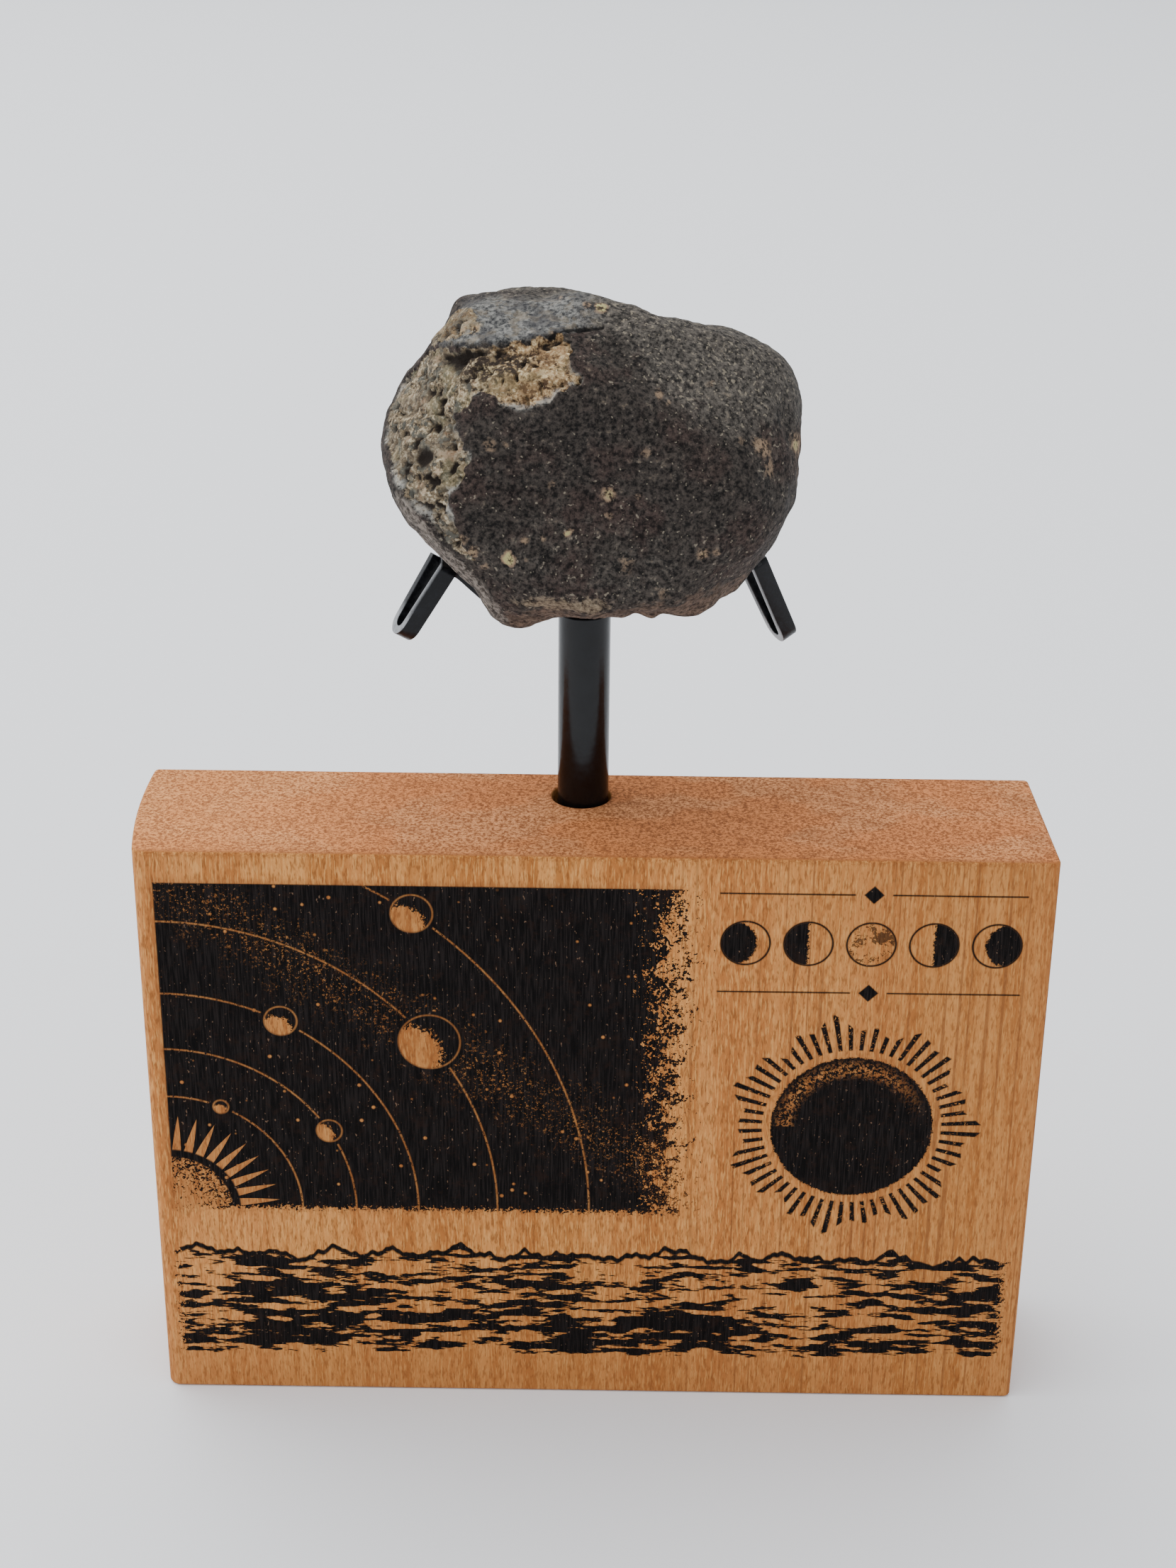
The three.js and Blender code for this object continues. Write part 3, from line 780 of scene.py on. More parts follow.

# %% [markdown]
# ## The broken patch's finish
#
# Broken stone is pale: cream and ochre grains on the right, more grey ones on the left, and
# painted shade, nearly black, in the pits and hollows and under the slab. The slab's left end
# crumbles to the same stone. A thin pale rim of crust follows the patch's border.

# %% Patch finish
left_share = rise(kept["across"], -8.0, -16.0) * (1.0 - kept["slab_end"] * 0.4)
shade = blend(left_share, (66, 48, 34), (50, 42, 34))
tan = blend(left_share, (158, 130, 94), (122, 107, 85))
cream = blend(left_share, (216, 192, 150), (182, 168, 142))
brown = blend(left_share, (120, 92, 62), (90, 80, 68))
patch = layered(
    shade,
    (rise(grainy + mottle.sway(0.5), 0.42, 0.5), tan),
    (rise(grainy + mottle.sway(0.4), 0.51, 0.6), cream),
    (rise(sand, 0.6, 0.7) * 0.8, (220, 210, 188)),
    (rise(blotch, 0.48, 0.58) * 0.5, brown),
    (rise(mottle, 0.48, 0.4) * left_share * 0.4, (112, 114, 106)),
    (rise(coarse, 0.44, 0.56) * kept["slab_end"] * 0.6, (98, 92, 82)),
    (rise(cloud, 0.52, 0.64) * 0.3, (134, 126, 92)),
    (rise(mottle, 0.58, 0.68) * 0.25, (164, 118, 84)),
    # Painted shadow under the slab on the right lobe.
    (kept["painted_lobe_shadow"] * rise(coarse, 0.62, 0.44), (52, 42, 35)),
    # Painted shade, nearly black, in the hollows, pits and undercut.
    (rise(kept["hollow_shade"] + sand.sway(0.7), 0.28, 0.8), (34, 27, 22)),
)
broken_share = kept["broken"].most(kept["slab_end"] * (mottle * 1.1 + 0.2))
surface = layered(
    crust,
    (rise(broken_share + sand.sway(0.8), 0.3, 0.7), patch),
    (kept["rim"] * rise(sand, 0.36, 0.5) * 0.85, (166, 164, 158)),
)
plug(shader.inputs["Base Color"], surface)
raise_surface(shader, sand * 0.6 + coarse * 0.4, 0.45)
add_piece(stone_mesh, "meteorite", stone_finish)
print("nodes in the stone finish:", len(tree.nodes))

# %% [markdown]
# ## The wooden block
#
# The block is one closed skin: up out of the drilled hole, over its rim, across the top,
# round the worn edge, down the sides and in again underneath. Its plan is nearly a
# rectangle, but its ends are sawn a little out of square and the left one bulges.

# %% Block outline
block_low, block_high = (np.array(corner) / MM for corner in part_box("wood_block"))
BLOCK_WIDTH = 105.0
BLOCK_DEPTH = float(block_high[1] - block_low[1])
BLOCK_HEIGHT = float(block_high[2] - block_low[2])
END_SKEW = 0.4
LEFT_END_BULGE = 0.7
CORNER_ROUNDS = (1.3, 0.9, 0.6, 0.6)
CORNER_STEPS = 12
LONG_STEPS = 240
END_STEPS = 60


def quarter_circle(middle, radius, start, points):
    """A quarter of a circle, from start degrees on: its middle plus radius times (cos, sin)."""
    angle = np.radians(start + np.linspace(0.0, 90.0, points))
    return np.array(middle) + radius * np.stack([np.cos(angle), np.sin(angle)], -1)


def block_plan(inset):
    """The outline drawn inwards by inset: four quarter circles, four straight sides between
    them, and a parabola that swells the left end. It runs from the front left to the right."""
    half_depth = BLOCK_DEPTH / 2 - inset
    half_width = BLOCK_WIDTH / 2 - inset
    corners = ((-1, -1, 180.0), (1, -1, 270.0), (1, 1, 0.0), (-1, 1, 90.0))
    arcs = []
    for (side, end, start), round_off in zip(corners, CORNER_ROUNDS):
        radius = max(round_off - inset, 0.1)
        middle = (side * (half_width - radius), end * (half_depth - radius))
        arcs.append(quarter_circle(middle, radius, start, CORNER_STEPS + 1))
    parts = []
    for k, steps in enumerate((LONG_STEPS, END_STEPS, LONG_STEPS, END_STEPS)):
        share = np.linspace(0.0, 1.0, steps + 1)[1:-1, None]
        parts += [arcs[k], arcs[k][-1] * (1.0 - share) + arcs[(k + 1) % 4][0] * share]
    plan = np.concatenate(parts)
    plan[:, 0] -= END_SKEW * plan[:, 1] / half_depth
    bulge = LEFT_END_BULGE * (1.0 - (plan[:, 1] / half_depth) ** 2)
    plan[:, 0] -= bulge * smooth(-plan[:, 0], half_width - 4.0, half_width - 1.0)
    return plan


block_size = np.round(block_high - block_low, 1)
print("block plan points:", len(block_plan(0.0)), "size in mm:", block_size)

# %% [markdown]
# ## From the hole to the foot in one skin
#
# Each ring is the outline at some inset and height, or the circle of the drilled hole seen
# from the same directions, so no face folds over its neighbour. Rings that stand close
# together hold the edges crisp, because smooth shading turns only between them.

# %% Block skin
HOLE_RADIUS = 3.5
HOLE_PLACE = np.array([-1.5, 5.0])
HOLE_DEPTH = 25.0
ARRIS = 0.4
FOOT_LEFT_ROUND = 1.4
SUPPORT = 0.06


def hole_ring(radius, height):
    """Points of a circle that lie in the directions of the outline's points from its middle."""
    outwards = block_plan(0.0) - HOLE_PLACE
    outwards /= np.linalg.norm(outwards, axis=1, keepdims=True)
    return np.column_stack([HOLE_PLACE + radius * outwards, np.full(len(outwards), height)])


def plan_ring(inset, height):
    """The outline at an inset, lifted to a height."""
    plan = block_plan(inset)
    return np.column_stack([plan, np.full(len(plan), height)])


def block_rings():
    """Out of the hole, over its rim, across the top, round both worn edges and in underneath."""
    top = BLOCK_HEIGHT
    rings = [hole_ring(0.4, top - HOLE_DEPTH), hole_ring(HOLE_RADIUS, top - HOLE_DEPTH)]
    rings += [hole_ring(HOLE_RADIUS, top - 1.0), hole_ring(HOLE_RADIUS, top - 0.12)]
    rings += [hole_ring(HOLE_RADIUS + 0.1, top), hole_ring(HOLE_RADIUS + 0.3, top)]
    inner, outer = hole_ring(HOLE_RADIUS + 0.3, top), plan_ring(ARRIS + SUPPORT, top)
    rings += [inner + (outer - inner) * share for share in np.linspace(0.05, 1.0, 16)]
    turn = np.linspace(0.0, math.pi / 2, 7)
    rings += [plan_ring(ARRIS * (1 - math.sin(a)), top - ARRIS * (1 - math.cos(a))) for a in turn]
    rings += [plan_ring(0.0, h) for h in np.linspace(top - ARRIS - SUPPORT, ARRIS + SUPPORT, 60)]
    rings += [plan_ring(ARRIS * (1 - math.cos(a)), ARRIS * (1 - math.sin(a))) for a in turn]
    rings += [plan_ring(ARRIS + SUPPORT, 0.0), plan_ring(BLOCK_DEPTH / 2 - 0.6, 0.0)]
    return np.stack(rings)


def wear_foot(points):
    """Past the centre line of the lower left round, points move onto its circle in x and z."""
    centre_x = block_low[0] + LEFT_END_BULGE / 2 + FOOT_LEFT_ROUND
    dx = np.minimum(points[..., 0] - centre_x, 0.0)
    dz = np.minimum(points[..., 2] - FOOT_LEFT_ROUND, 0.0)
    reach = np.hypot(dx, dz)
    outside = (dx < 0) & (dz < 0) & (reach > FOOT_LEFT_ROUND)
    cut = np.where(outside, FOOT_LEFT_ROUND / (reach + 1e-9), 1.0)
    worn = points.copy()
    worn[..., 0] += dx * (cut - 1.0)
    worn[..., 2] += dz * (cut - 1.0)
    return worn


block_skin = block_rings()
block_mesh = mesh_from_rings("beech_block", wear_foot(block_skin))
print("block rings:", len(block_skin))

# %% [markdown]
# ## Bare wood
#
# The grain stands upright in the block, so the front shows short upright flecks and the top
# shows end grain, a sandy pattern in a pinker tan. A noise stretched along Z gives the
# fibres: the same ones are streaks from the side and dots from above.

# %% Bare wood
wood_look = {"Roughness": 0.66, "Specular_IOR_Level": 0.05}
wood_finish, tree, shader, places = new_finish("beech_wood", **wood_look)
x, y, z = parts_of(places, 1.0 / MM)
_, faces_back, faces_up = parts_of(tree.nodes.new("ShaderNodeNewGeometry").outputs["Normal"])
on_top = rise(faces_up, 0.6, 0.9)
on_front = rise(faces_back, -0.7, -0.95)

fibre = noise(places, 0.24, 2.0, 0.6, (1.0, 1.0, 0.13))
fleck = noise(places, 0.38, 2.0, 0.7, (1.0, 1.0, 0.24))
streak = noise(places, 2.4, 4.0, 0.7, (1.0, 1.0, 0.04))
band = noise(places, 13.0, 2.0, 0.5, (1.0, 1.4, 0.03))
line = noise(places, 0.55, 1.0, 0.5, (1.0, 1.0, 0.008))
grain = noise(places, 0.36, 3.0, 0.75)
turned_places = mapped(places, "Rotation", (0.0, 0.0, math.radians(24.0)))
ring = noise(turned_places, 2.6, 2.0, 0.5, (0.16, 1.0, 0.1))
print("nodes for the noises:", len(tree.nodes))

# %% [markdown]
# ## Front and end grain
#
# The front is streaks and bands with dark flecks, pale fibres and a few long dark lines,
# and it is browner at the right and the foot. End grain mixes a light and a dark tone grain
# by grain, both with painted light that makes the top paler towards its left end, and the
# top's front edge is worn dark.

# %% Front and end grain
front_wood = layered(
    blend(rise(streak, 0.38, 0.62), (172, 108, 54), (210, 145, 82)),
    (rise(band, 0.35, 0.65) * 0.4, (186, 116, 66)),
    (rise(fleck, 0.47, 0.64) * 0.68, (130, 78, 40)),
    (rise(fibre, 0.48, 0.66) * 0.6, (228, 166, 98)),
    (rise(line, 0.57, 0.66) * rise(x, -12.0, 25.0) * 0.6, (116, 70, 42)),
    (rise(x, 10.0, 52.0).most(rise(z, 16.0, 0.0)) * 0.35, (150, 92, 50)),
)
end_light = layered(
    blend(rise(ring, 0.44, 0.6) * 0.45, (216, 149, 100), (172, 116, 78)),
    (rise(band, 0.44, 0.56) * 0.6, (206, 124, 70)),
    # Painted light: the top paler towards its left end, as if lit from the left.
    (rise(x, -15.0, -48.0) * 0.45, (246, 172, 106)),
    (rise(y, -5.0, -11.0) * 0.35, (196, 122, 64)),
)
# Painted light: the dark end-grain tone also paler towards the left end.
end_dark = blend(rise(x, -15.0, -48.0) * 0.35, (130, 78, 46), (168, 106, 66))
end_wood = blend(rise(grain, 0.37, 0.63), end_dark, end_light)
front_arris = rise(z, BLOCK_HEIGHT - 1.0, BLOCK_HEIGHT - 0.3)
front_arris *= rise(y, 0.9 - BLOCK_DEPTH / 2, -BLOCK_DEPTH / 2)
wood = layered(
    front_wood,
    (on_top, end_wood),
    (front_arris * rise(grain, 0.46, 0.56) * 0.55, (130, 76, 40)),
)
print("nodes in the bare wood:", len(tree.nodes))

# %% [markdown]
# ## Drawing on the front
#
# The front is charred by a laser. Its picture is plain geometry in mm on the front: discs,
# rings, rays and strokes, each one a distance that is cut off at a limit. Noise is added to
# a distance before the cut, so that an edge comes out ragged, as burnt wood does.

# %% Drawing helpers


def length(run, climb):
    """The straight length of a run and a climb: the root of their squares added."""
    return (run * run + climb * climb).root()


def away_from(place_x, place_z):
    """Distance on the front from a place."""
    return length(x - place_x, z - place_z)


def bearing(place_x, place_z):
    """Angle in radians at which a point is seen from a place."""
    return (z - place_z).math("ARCTAN2", x - place_x)


def within(distance, limit, soft=0.12):
    """1 where the distance is under the limit."""
    return rise(distance, limit + soft, limit - soft)


def stroke(distance, half_width, soft=0.1):
    """1 along a line, where a signed distance is nearly nothing."""
    return within(distance.size(), half_width, soft)


def spokes(angle, count):
    """0 in the middle of each of count equal sectors, rising to 1 halfway to the next."""
    return ((angle * (count / (2.0 * math.pi))).math("FRACT") - 0.5).size() * 2.0


def inverse(amount):
    """1 where the amount is 0, and 0 where it is 1."""
    return 1.0 - amount


print("nodes before the drawing:", len(tree.nodes))

# %% [markdown]
# ## A charred night sky
#
# The large dark field is a chart: a quarter sun in the corner, thin orbits of bare wood
# round it, five planets lit from the sun's side, and a speckled band of stars. Its right
# border breaks up into specks.

# %% Charred sky
SKY_LEFT, SKY_RIGHT, SKY_LOW, SKY_HIGH = -50.0, 9.0, 27.0, 71.0
SUN_RADIUS = 7.0
RAY_LENGTH = 4.6
RAY_COUNT = 36
ORBITS = (15.5, 22.0, 29.5, 39.0, 50.0)
# Orbit, bearing in degrees and radius of each planet in mm.
PLANETS = (
    (15.5, 66.0, 0.9), (22.0, 30.0, 1.5), (29.5, 62.0, 1.9), (39.0, 37.0, 3.6), (50.0, 54.0, 2.4),
)
fine = noise(places, 0.32, 2.0, 0.7)
ragged = noise(places, 1.5, 3.0, 0.7)
from_sun = away_from(SKY_LEFT, SKY_LOW)
sun_angle = bearing(SKY_LEFT, SKY_LOW)

right_edge = SKY_RIGHT - x + fine.sway(16.0) + ragged.sway(16.0)
low_edge = z - SKY_LOW + fine.sway(3.0)
sky_depth = (x - SKY_LEFT).least(SKY_HIGH - z).least(right_edge.least(low_edge))
charred = rise(sky_depth, -0.1, 0.1)

rays_end = spokes(sun_angle, RAY_COUNT) * (-1.4 * RAY_LENGTH) + (SUN_RADIUS + 1.2 + RAY_LENGTH)
bare = within(from_sun - rays_end, 0.0) * rise(from_sun, SUN_RADIUS + 0.9, SUN_RADIUS + 1.2)
sun_disc = within(from_sun, SUN_RADIUS) * rise(fine + from_sun * 0.03, 0.74, 0.66)
bare = bare.most(sun_disc)
for orbit in ORBITS:
    bare = bare.most(stroke(from_sun - orbit, 0.1) * rise(fine, 0.34, 0.46) * 0.8)
stars_away, stars_lot = grains(places, 1.5)
milky = stroke((x + 22.0) * 0.55 + (z - 53.0) * 0.83 + ragged.sway(14.0), 2.0, 3.5)
bare = bare.most(within(stars_away, 0.15, 0.05) * rise(stars_lot, 0.8, 0.84))
bare = bare.most(milky * rise(fine, 0.56, 0.66) * 0.8)
for orbit, degrees, size in PLANETS:
    way_x, way_z = math.cos(math.radians(degrees)), math.sin(math.radians(degrees))
    planet_x, planet_z = SKY_LEFT + orbit * way_x, SKY_LOW + orbit * way_z
    lit_x, lit_z = planet_x - 0.75 * size * way_x, planet_z - 0.75 * size * way_z
    planet = away_from(planet_x, planet_z)
    bare = bare * rise(planet, size + 0.5, size + 0.7)
    lit = away_from(lit_x, lit_z) + fine.sway(size)
    bare = bare.most(within(planet, size) * within(lit, size))
    bare = bare.most(stroke(planet - size, 0.1) * 0.6)
charred = charred * inverse(bare)
print("sky panel in mm:", SKY_RIGHT - SKY_LEFT, "x", SKY_HIGH - SKY_LOW)

# %% [markdown]
# ## Moons, rules and an eclipse
#
# The upper right has a row of moon phases between two plain rules, each with a diamond in
# its middle. Measuring sideways from the row's middle draws its two halves at once. Below
# them is a dark disc with a thin corona.

# %% Moons and eclipse
MOON_MIDDLE = 32.0
MOON_HEIGHT = 64.2
MOON_RADIUS = 2.8
MOON_STEP = 7.2
RULE_HEIGHTS = (70.6, 57.8)
RULE_HALF = 17.5
ECLIPSE = (31.0, 39.5)
ECLIPSE_RADIUS = 9.6
CORONA_COUNT = 56
aside = (x - MOON_MIDDLE).size()
for rule_height in RULE_HEIGHTS:
    rule = stroke(z - rule_height, 0.1) * within(aside, RULE_HALF) * rise(aside, 2.0, 2.2)
    charred = charred.most(rule).most(within(aside + (z - rule_height).size(), 1.15))
for step in range(3):
    run, climb = aside - step * MOON_STEP, z - MOON_HEIGHT
    moon = length(run, climb)
    charred = charred.most(stroke(moon - MOON_RADIUS, 0.12))
    if step == 0:
        dark = rise(ragged * 0.6 + fine * 0.4, 0.5, 0.56) * 0.8
    elif step == 1:
        dark = rise(run + (fine - 0.5), -0.1, 0.1)
    else:
        dark = within(length(run - 1.5, climb) + (fine - 0.5), MOON_RADIUS)
    charred = charred.most(within(moon, MOON_RADIUS) * dark)

eclipse = away_from(*ECLIPSE)
corona_angle = bearing(*ECLIPSE)
corona_waves = spokes(corona_angle, 7) * 2.2 + spokes(corona_angle, 18) * 1.6
corona_end = corona_waves + (ECLIPSE_RADIUS + 2.4)
corona = rise(spokes(corona_angle, CORONA_COUNT), 0.5, 0.3) * within(eclipse - corona_end, 0.0)
corona = corona * rise(eclipse, ECLIPSE_RADIUS + 0.9, ECLIPSE_RADIUS + 1.1)
disc_edge = ECLIPSE_RADIUS - eclipse + fine.sway(0.8)
limb = stroke(eclipse - (ECLIPSE_RADIUS - 1.6), 0.7, 0.9) * rise(corona_angle, 0.1, 1.4)
charred = charred.most(rise(disc_edge, -0.1, 0.1) * inverse(limb * rise(fine, 0.46, 0.56)))
charred = charred.most(corona * rise(fine, 0.3, 0.42))
print("moons at", [round(MOON_MIDDLE + k * MOON_STEP, 1) for k in range(-2, 3)])

# %% [markdown]
# ## Layers under the sky
#
# Along the foot runs a band of worn layers: streaks that are long in X and thin in Z,
# packed closer towards the bottom, under a wavering top line.

# %% Charred layers
LAYERS_LEFT, LAYERS_RIGHT, LAYERS_LOW, LAYERS_TOP = -50.0, 50.5, 4.6, 20.5
crest = noise(places, 6.5, 3.0, 0.6, (1.0, 0.0, 0.0))
roll = noise(places, 5.0, 2.0, 0.5, (0.3, 1.0, 1.0))
seam = noise(places, 0.75, 3.0, 0.65, (0.2, 1.0, 1.0))
lens = noise(places, 3.4, 2.0, 0.5, (0.22, 1.0, 1.0))
top_line = crest.sway(9.0) + LAYERS_TOP
folds = ((z + roll * 12.0) * 2.6).sine()
worn = seam + folds * 0.06 + lens * 0.55 - z * 0.005
worn = worn - rise(z, LAYERS_LOW + 2.5, LAYERS_LOW - 1.5) * 0.7
layers = rise(worn, 0.68, 0.72)
layers = layers.most(stroke(z - top_line, 0.4, 0.2)) * rise(top_line - z, -0.5, -0.3)
layers_depth = (x - LAYERS_LEFT).least(LAYERS_RIGHT - x) + fine.sway(4.0)
charred = charred.most(layers * rise(layers_depth, -0.1, 0.1)) * on_front
print("nodes with the drawing:", len(tree.nodes))

# %% [markdown]
# ## Char
#
# Charred wood is a sooty brown-black that still shows the laser's upright passes, with a
# few pale sparks where fibres stayed bare. It lies a little below the surface.

# %% Char
passes = noise(places, 0.2, 2.0, 0.6, (1.0, 1.0, 0.05))
sparks = noise(places, 0.3, 1.0, 0.5, (1.0, 1.0, 0.6))
soot = layered(
    blend(rise(passes, 0.4, 0.66), (11, 9, 9), (33, 28, 27)),
    (rise(ragged, 0.5, 0.7) * 0.45, (40, 26, 20)),
    (rise(sparks, 0.7, 0.78) * 0.6, (128, 100, 80)),
)
scorch = rise(sky_depth, -1.0, 0.0).most(within(eclipse, ECLIPSE_RADIUS, 0.9)) * on_front
wood = layered(wood, (scorch * 0.35, (124, 72, 42)), (charred, soot))
plug(shader.inputs["Base Color"], wood)
raise_surface(shader, (fibre + grain) * 0.25 + inverse(charred) * 0.5, 0.16)
add_piece(block_mesh, "wood_block", wood_finish)
print("nodes in the wood finish:", len(tree.nodes))

# %% [markdown]
# ## Rod and hub
#
# Both are turned shapes: a profile of radius and height carried once round an axis. The rod
# is gloss black paint, a little uneven, and the hub under the stone is the same paint.

# %% Rod and hub
POST_PLACE = np.array([-1.3, 5.0])
ROUND_SIDES = 96
GLOSS_ROUGHNESS = 0.16


def turned_rings(profile, place):
    """Radius and height pairs swept round an upright axis: x = r cos, y = r sin, z = height."""
    angle = 2.0 * math.pi * np.arange(ROUND_SIDES) / ROUND_SIDES
    radius, height = np.array(profile).T
    x = place[0] + radius[:, None] * np.cos(angle)
    y = place[1] + radius[:, None] * np.sin(angle)
    return np.stack([x, y, np.broadcast_to(height[:, None], x.shape)], -1)


def rod_profile(radius, bottom, top, edge):
    """Up one side of a rod whose two ends have small rounded edges."""
    turn = np.linspace(0.0, math.pi / 2, 6)
    foot = [(radius - edge + edge * math.sin(a), bottom + edge - edge * math.cos(a)) for a in turn]
    head = [(radius - edge + edge * math.cos(a), top - edge + edge * math.sin(a)) for a in turn]
    return [(radius * 0.5, bottom)] + foot + head + [(radius * 0.5, top)]


print("points of a rod's profile:", len(rod_profile(3.0, 0.0, 10.0, 0.3)))

# %% Gloss black
rod_finish, tree, shader, places = new_finish("gloss_black_rod", Specular_IOR_Level=0.28)
ripple = noise(places, 2.2, 2.0, 0.5)
lint = noise(places, 0.5, 3.0, 0.7)
plug(shader.inputs["Base Color"], blend(rise(ripple, 0.3, 0.7), (6, 6, 8), (12, 13, 16)))
lint_roughness = rise(lint, 0.3, 0.8, GLOSS_ROUGHNESS, GLOSS_ROUGHNESS + 0.12)
plug(shader.inputs["Roughness"], lint_roughness)
raise_surface(shader, ripple, 0.03)
for node, piece_name, edge in (("post", "post_rod", 0.3), ("hub", "hub_disc", 0.2)):
    low, high = (np.array(corner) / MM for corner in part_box(node))
    profile = rod_profile((high[0] - low[0]) / 2, low[2], high[2], edge)
    mesh = mesh_from_rings(piece_name, turned_rings(profile, POST_PLACE))
    add_piece(mesh, node, rod_finish)

# %% [markdown]
# ## Folded prongs
#
# Each prong is a flat strap that hugs the underside of the stone, with a hairpin loop of the
# same strip under its outer end. Both are a rounded rectangle carried along a flat path.

# %% Strip along a path
STRIP_THICKNESS = 1.0
STRIP_WIDTH = 2.0
STRAP_WIDTH = 4.9
STRAP_WAIST = 0.4
STRIP_EDGE = 0.12
LOOP_SPACING_TOP = 3.9
LOOP_SPACING_FOOT = 2.8


def strip_section(thickness, width):
    """A rounded rectangle, thickness by width, as points round its middle. Each corner is a
    quarter circle of the edge radius."""
    half_x, half_y = thickness / 2 - STRIP_EDGE, width / 2 - STRIP_EDGE
    corners = ((1, 1, 0.0), (-1, 1, 90.0), (-1, -1, 180.0), (1, -1, 270.0))
    return np.concatenate([
        quarter_circle((side * half_x, end * half_y), STRIP_EDGE, start, 5)
        for side, end, start in corners
    ])


def strip_rings(path, across, section, widths):
    """Carries a section along a flat path. Thickness lies in the path's own plane, at right
    angles to its run, and width lies along the plane's normal, across, times the local width."""
    run = np.gradient(path, axis=0)
    run /= np.linalg.norm(run, axis=1, keepdims=True)
    thick = np.cross(across, run)
    rings = path[:, None, :] + thick[:, None, :] * section[None, :, :1]
    return rings + across[None, None, :] * (section[None, :, 1:] * widths[:, None, None])


def smooth_path(points, samples):
    """A Catmull-Rom curve: through the points, and at each one level with its neighbours."""
    ends = np.concatenate([2 * points[:1] - points[1:2], points, 2 * points[-1:] - points[-2:-1]])
    place = np.linspace(0.0, len(points) - 1.0, samples)
    step = np.minimum(place.astype(int), len(points) - 2)
    t = (place - step)[:, None]
    p0, p1, p2, p3 = (ends[step + k] for k in range(4))
    bend = (2 * p0 - 5 * p1 + 4 * p2 - p3) * t**2 + (3 * p1 - p0 - 3 * p2 + p3) * t**3
    return 0.5 * (2 * p1 + (p2 - p0) * t + bend)


print("points round a strip:", len(strip_section(STRIP_THICKNESS, STRIP_WIDTH)))

# %% [markdown]
# ## The three prongs
#
# The left and the right one reach out on either side of the rod, and the third one stands
# behind the stone. Each is drawn in its own upright plane, with distance from the rod's
# axis and height, and then turned to its place. The loop is turned a little further, about
# the upright through its top. The loop's narrow edges are pale grey: partly bare steel and
# partly a painted highlight.

# %% Prong plan
HUB_RADIUS = 3.8
HUB_TOP = 100.3
HUB_THICKNESS = 1.4
STRAP_START = (HUB_RADIUS + 0.3, HUB_TOP - HUB_THICKNESS / 2)
# Azimuth in degrees, the strap's path, the loop's top and foot, and the loop's turn in degrees.
# A place is its distance out from the rod's axis and its height in mm.
PRONGS = {
    "arm_left": (
        183.0,
        [
            STRAP_START, (7.6, 99.35), (9.6, 99.65), (11.2, 100.4),
            (12.6, 101.65), (14.0, 103.0), (15.2, 103.9), (16.4, 104.5),
        ],
        (16.0, 104.4), (20.3, 97.75), 17.0,
    ),
    "arm_right": (
        17.0,
        [STRAP_START, (8.6, 99.75), (12.5, 100.4), (16.0, 101.0), (18.2, 101.9), (20.2, 103.4)],
        (19.75, 103.3), (24.35, 93.95), 11.0,
    ),
    "arm_back": (
        105.0,
        [STRAP_START, (8.6, 100.3), (12.4, 101.5), (16.3, 103.35)],
        (15.8, 103.15), (19.8, 96.6), 0.0,
    ),
}
print("prongs:", ", ".join(PRONGS))

# %% Loop and waist
SIDEWAYS = np.array([0.0, 1.0, 0.0])


def loop_path(top, foot):
    """Down one leg, half a turn round the foot and up the other leg. The legs spread a little."""
    climb = np.array([top[0] - foot[0], 0.0, top[1] - foot[1]])
    length = np.linalg.norm(climb)
    climb /= length
    share = np.linspace(1.0, 0.0, 14)[:, None]
    spread = (LOOP_SPACING_FOOT + (LOOP_SPACING_TOP - LOOP_SPACING_FOOT) * share) / 2
    leg = climb * length * share
    angle = np.linspace(0.0, math.pi, 21)[1:-1, None]
    radius = LOOP_SPACING_FOOT / 2
    bend = SIDEWAYS * radius * np.cos(angle) - climb * radius * np.sin(angle)
    path = np.concatenate([leg + SIDEWAYS * spread, bend, (leg - SIDEWAYS * spread)[::-1]])
    return path + np.array([foot[0], 0.0, foot[1]]), np.cross(SIDEWAYS, climb)


def strap_widths(path):
    """1 at the outer end, and eased down to the waist over the last few mm before it."""
    steps = np.linalg.norm(np.diff(path, axis=0), axis=1)
    left_to_go = np.append(np.cumsum(steps[::-1])[::-1], 0.0)
    return 1.0 - (1.0 - STRAP_WAIST) * smooth(left_to_go, 0.5, 2.6)


def edge_wear_and_highlight(rings, section):
    """How pale each point is: partly bare steel and partly a painted highlight. Only the strip's
    narrow edges are pale: fully round the foot, less up the front leg, mostly on its inner side,
    and hardly up the hind leg."""
    y, z = rings[..., 1].mean(1), rings[..., 2].mean(1)
    low = fall(z, z.min() + 0.8, z.min() + 3.2)
    front = smooth(y.mean() - y, -0.4, 0.4)
    leg = 0.12 + 0.7 * front
    outer = section[:, 0] > 0
    on_edge = np.abs(section[:, 1]) > np.abs(section[:, 1]).max() - STRIP_EDGE * 0.6
    worn = np.maximum(low[:, None], leg[:, None] * np.where(outer, 0.1, 1.0)[None, :])
    return worn * on_edge[None, :]


def turned_about(points, degrees, out):
    """Turns points about an upright line that stands at the distance out from the axis."""
    c, s = math.cos(math.radians(degrees)), math.sin(math.radians(degrees))
    middle = np.array([out, 0.0, 0.0])
    return (points - middle) @ np.array([[c, s, 0.0], [-s, c, 0.0], [0.0, 0.0, 1.0]]) + middle


print("points along a loop:", len(loop_path((16.0, 104.4), (20.3, 97.75))[0]))

# %% Steel and prongs
steel_finish, tree, shader, places = new_finish("black_steel_strip", Specular_IOR_Level=0.22)
edge_bare_and_highlight = attribute(tree, "bare_edge_and_highlight")
scuff = noise(places, 0.7, 3.0, 0.7)
paint = blend(rise(scuff, 0.4, 0.8), (8, 9, 12), (24, 26, 31))
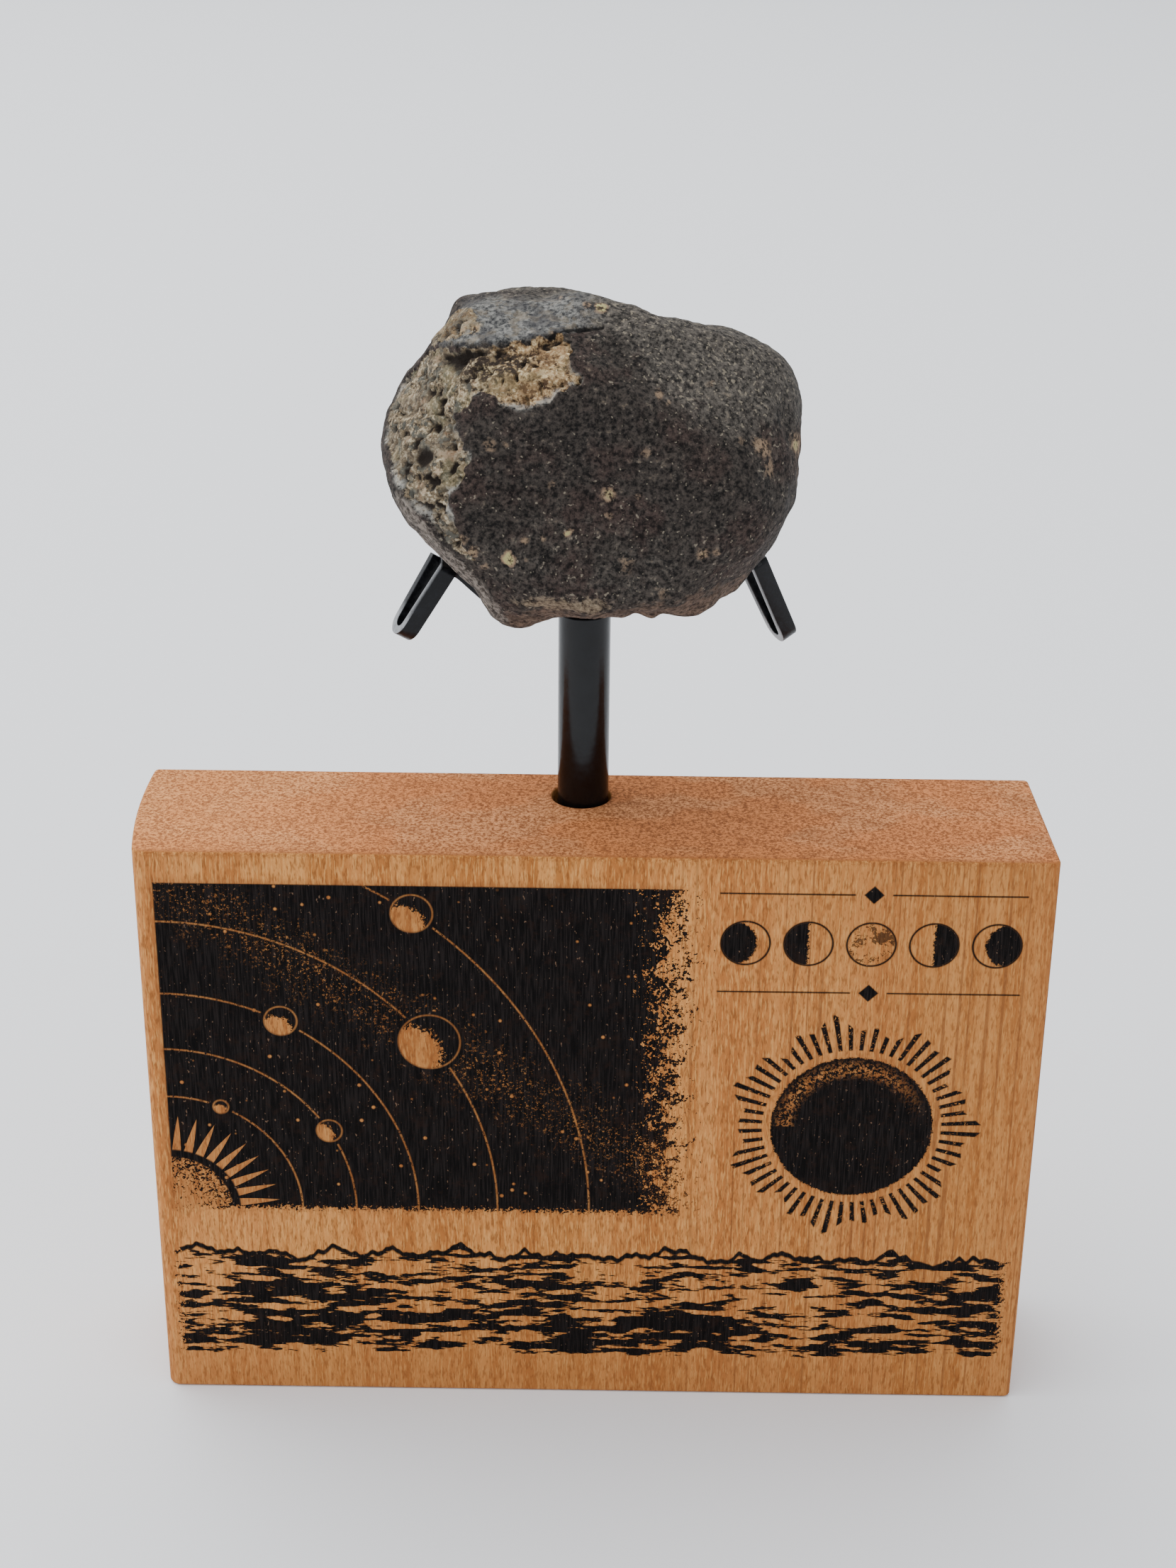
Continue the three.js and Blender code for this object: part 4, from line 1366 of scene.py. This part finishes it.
# Pale grey on the loop's narrow edges: partly bare steel, partly a painted highlight.
bare_and_highlight_amount = edge_bare_and_highlight * rise(scuff, 0.2, 0.6, 0.6, 1.0)
plug(shader.inputs["Base Color"], blend(bare_and_highlight_amount, paint, (150, 152, 156)))
plug(shader.inputs["Roughness"], rise(scuff, 0.2, 0.8, 0.26, 0.42))
raise_surface(shader, scuff, 0.04)

strap_section = strip_section(STRIP_THICKNESS, STRAP_WIDTH)
loop_section = strip_section(STRIP_THICKNESS, STRIP_WIDTH)
for name, (azimuth, strap_places, loop_top, loop_foot, loop_turn) in PRONGS.items():
    strap_path = smooth_path(np.array([(out, 0.0, height) for out, height in strap_places]), 60)
    strap = strip_rings(strap_path, -SIDEWAYS, strap_section, strap_widths(strap_path))
    path, across_loop = loop_path(loop_top, loop_foot)
    loop = strip_rings(path, across_loop, loop_section, np.ones(len(path)))
    loop = turned_about(loop, loop_turn, loop_top[0])
    for part, rings in (("strap", strap), ("loop", loop)):
        placed = turned_about(rings, azimuth, 0.0) + np.array([*POST_PLACE, 0.0])
        mesh = mesh_from_rings(f"{name}_{part}", placed)
        add_values(mesh, "bare_edge_and_highlight", edge_wear_and_highlight(placed, loop_section) * (part == "loop"))
        add_piece(mesh, name, steel_finish)

# %% [markdown]
# ## Floor and light
#
# A plain pale floor, a soft sky and one large soft lamp up on the left, a little behind the
# stand, give the soft shadow that lies in front of the block's foot.

# %% Floor and light
FLOOR_HALF = 3.0
# In metres. Level with the block's underside, the two would flicker into each other.
FLOOR_DROP = 0.00002
floor_mesh = bpy.data.meshes.new("floor")
corner_signs = ((-1, -1), (1, -1), (1, 1), (-1, 1))
floor_corners = [(FLOOR_HALF * sx, FLOOR_HALF * sy, -FLOOR_DROP) for sx, sy in corner_signs]
floor_mesh.from_pydata(floor_corners, [], [(0, 1, 2, 3)])
floor = add_object("floor", floor_mesh)
floor_look = {"Roughness": 0.6, "Specular_IOR_Level": 0.2}
floor_finish, _, shader, _ = new_finish("pale_floor", **floor_look)
shader.inputs["Base Color"].default_value = (0.9, 0.915, 0.95, 1.0)
floor_mesh.materials.append(floor_finish)

world = bpy.data.worlds.new("soft_sky")
world.use_nodes = True
sky = world.node_tree.nodes["Background"]
sky.inputs["Color"].default_value = (0.94, 0.97, 1.0, 1.0)
sky.inputs["Strength"].default_value = 0.95
bpy.context.scene.world = world


def soft_lamp(name, place, target, size, power, colour):
    """A square lamp at place that faces target. Its axis is the arrow between the two."""
    data = bpy.data.lights.new(name, "AREA")
    data.size = size
    data.energy = power
    data.color = colour
    lamp = add_object(name, data)
    away = np.array(place) - np.array(target)
    away /= np.linalg.norm(away)
    side = np.cross([0.0, 0.0, 1.0], away)
    side /= np.linalg.norm(side)
    axes = np.column_stack([side, np.cross(away, side), away])
    lamp.matrix_world = Matrix.Translation(place) @ Matrix(axes.tolist()).to_4x4()


soft_lamp("window", (-0.55, 0.3, 1.2), (0.0, 0.0, 0.08), 1.9, 28.0, (1.0, 0.99, 0.97))
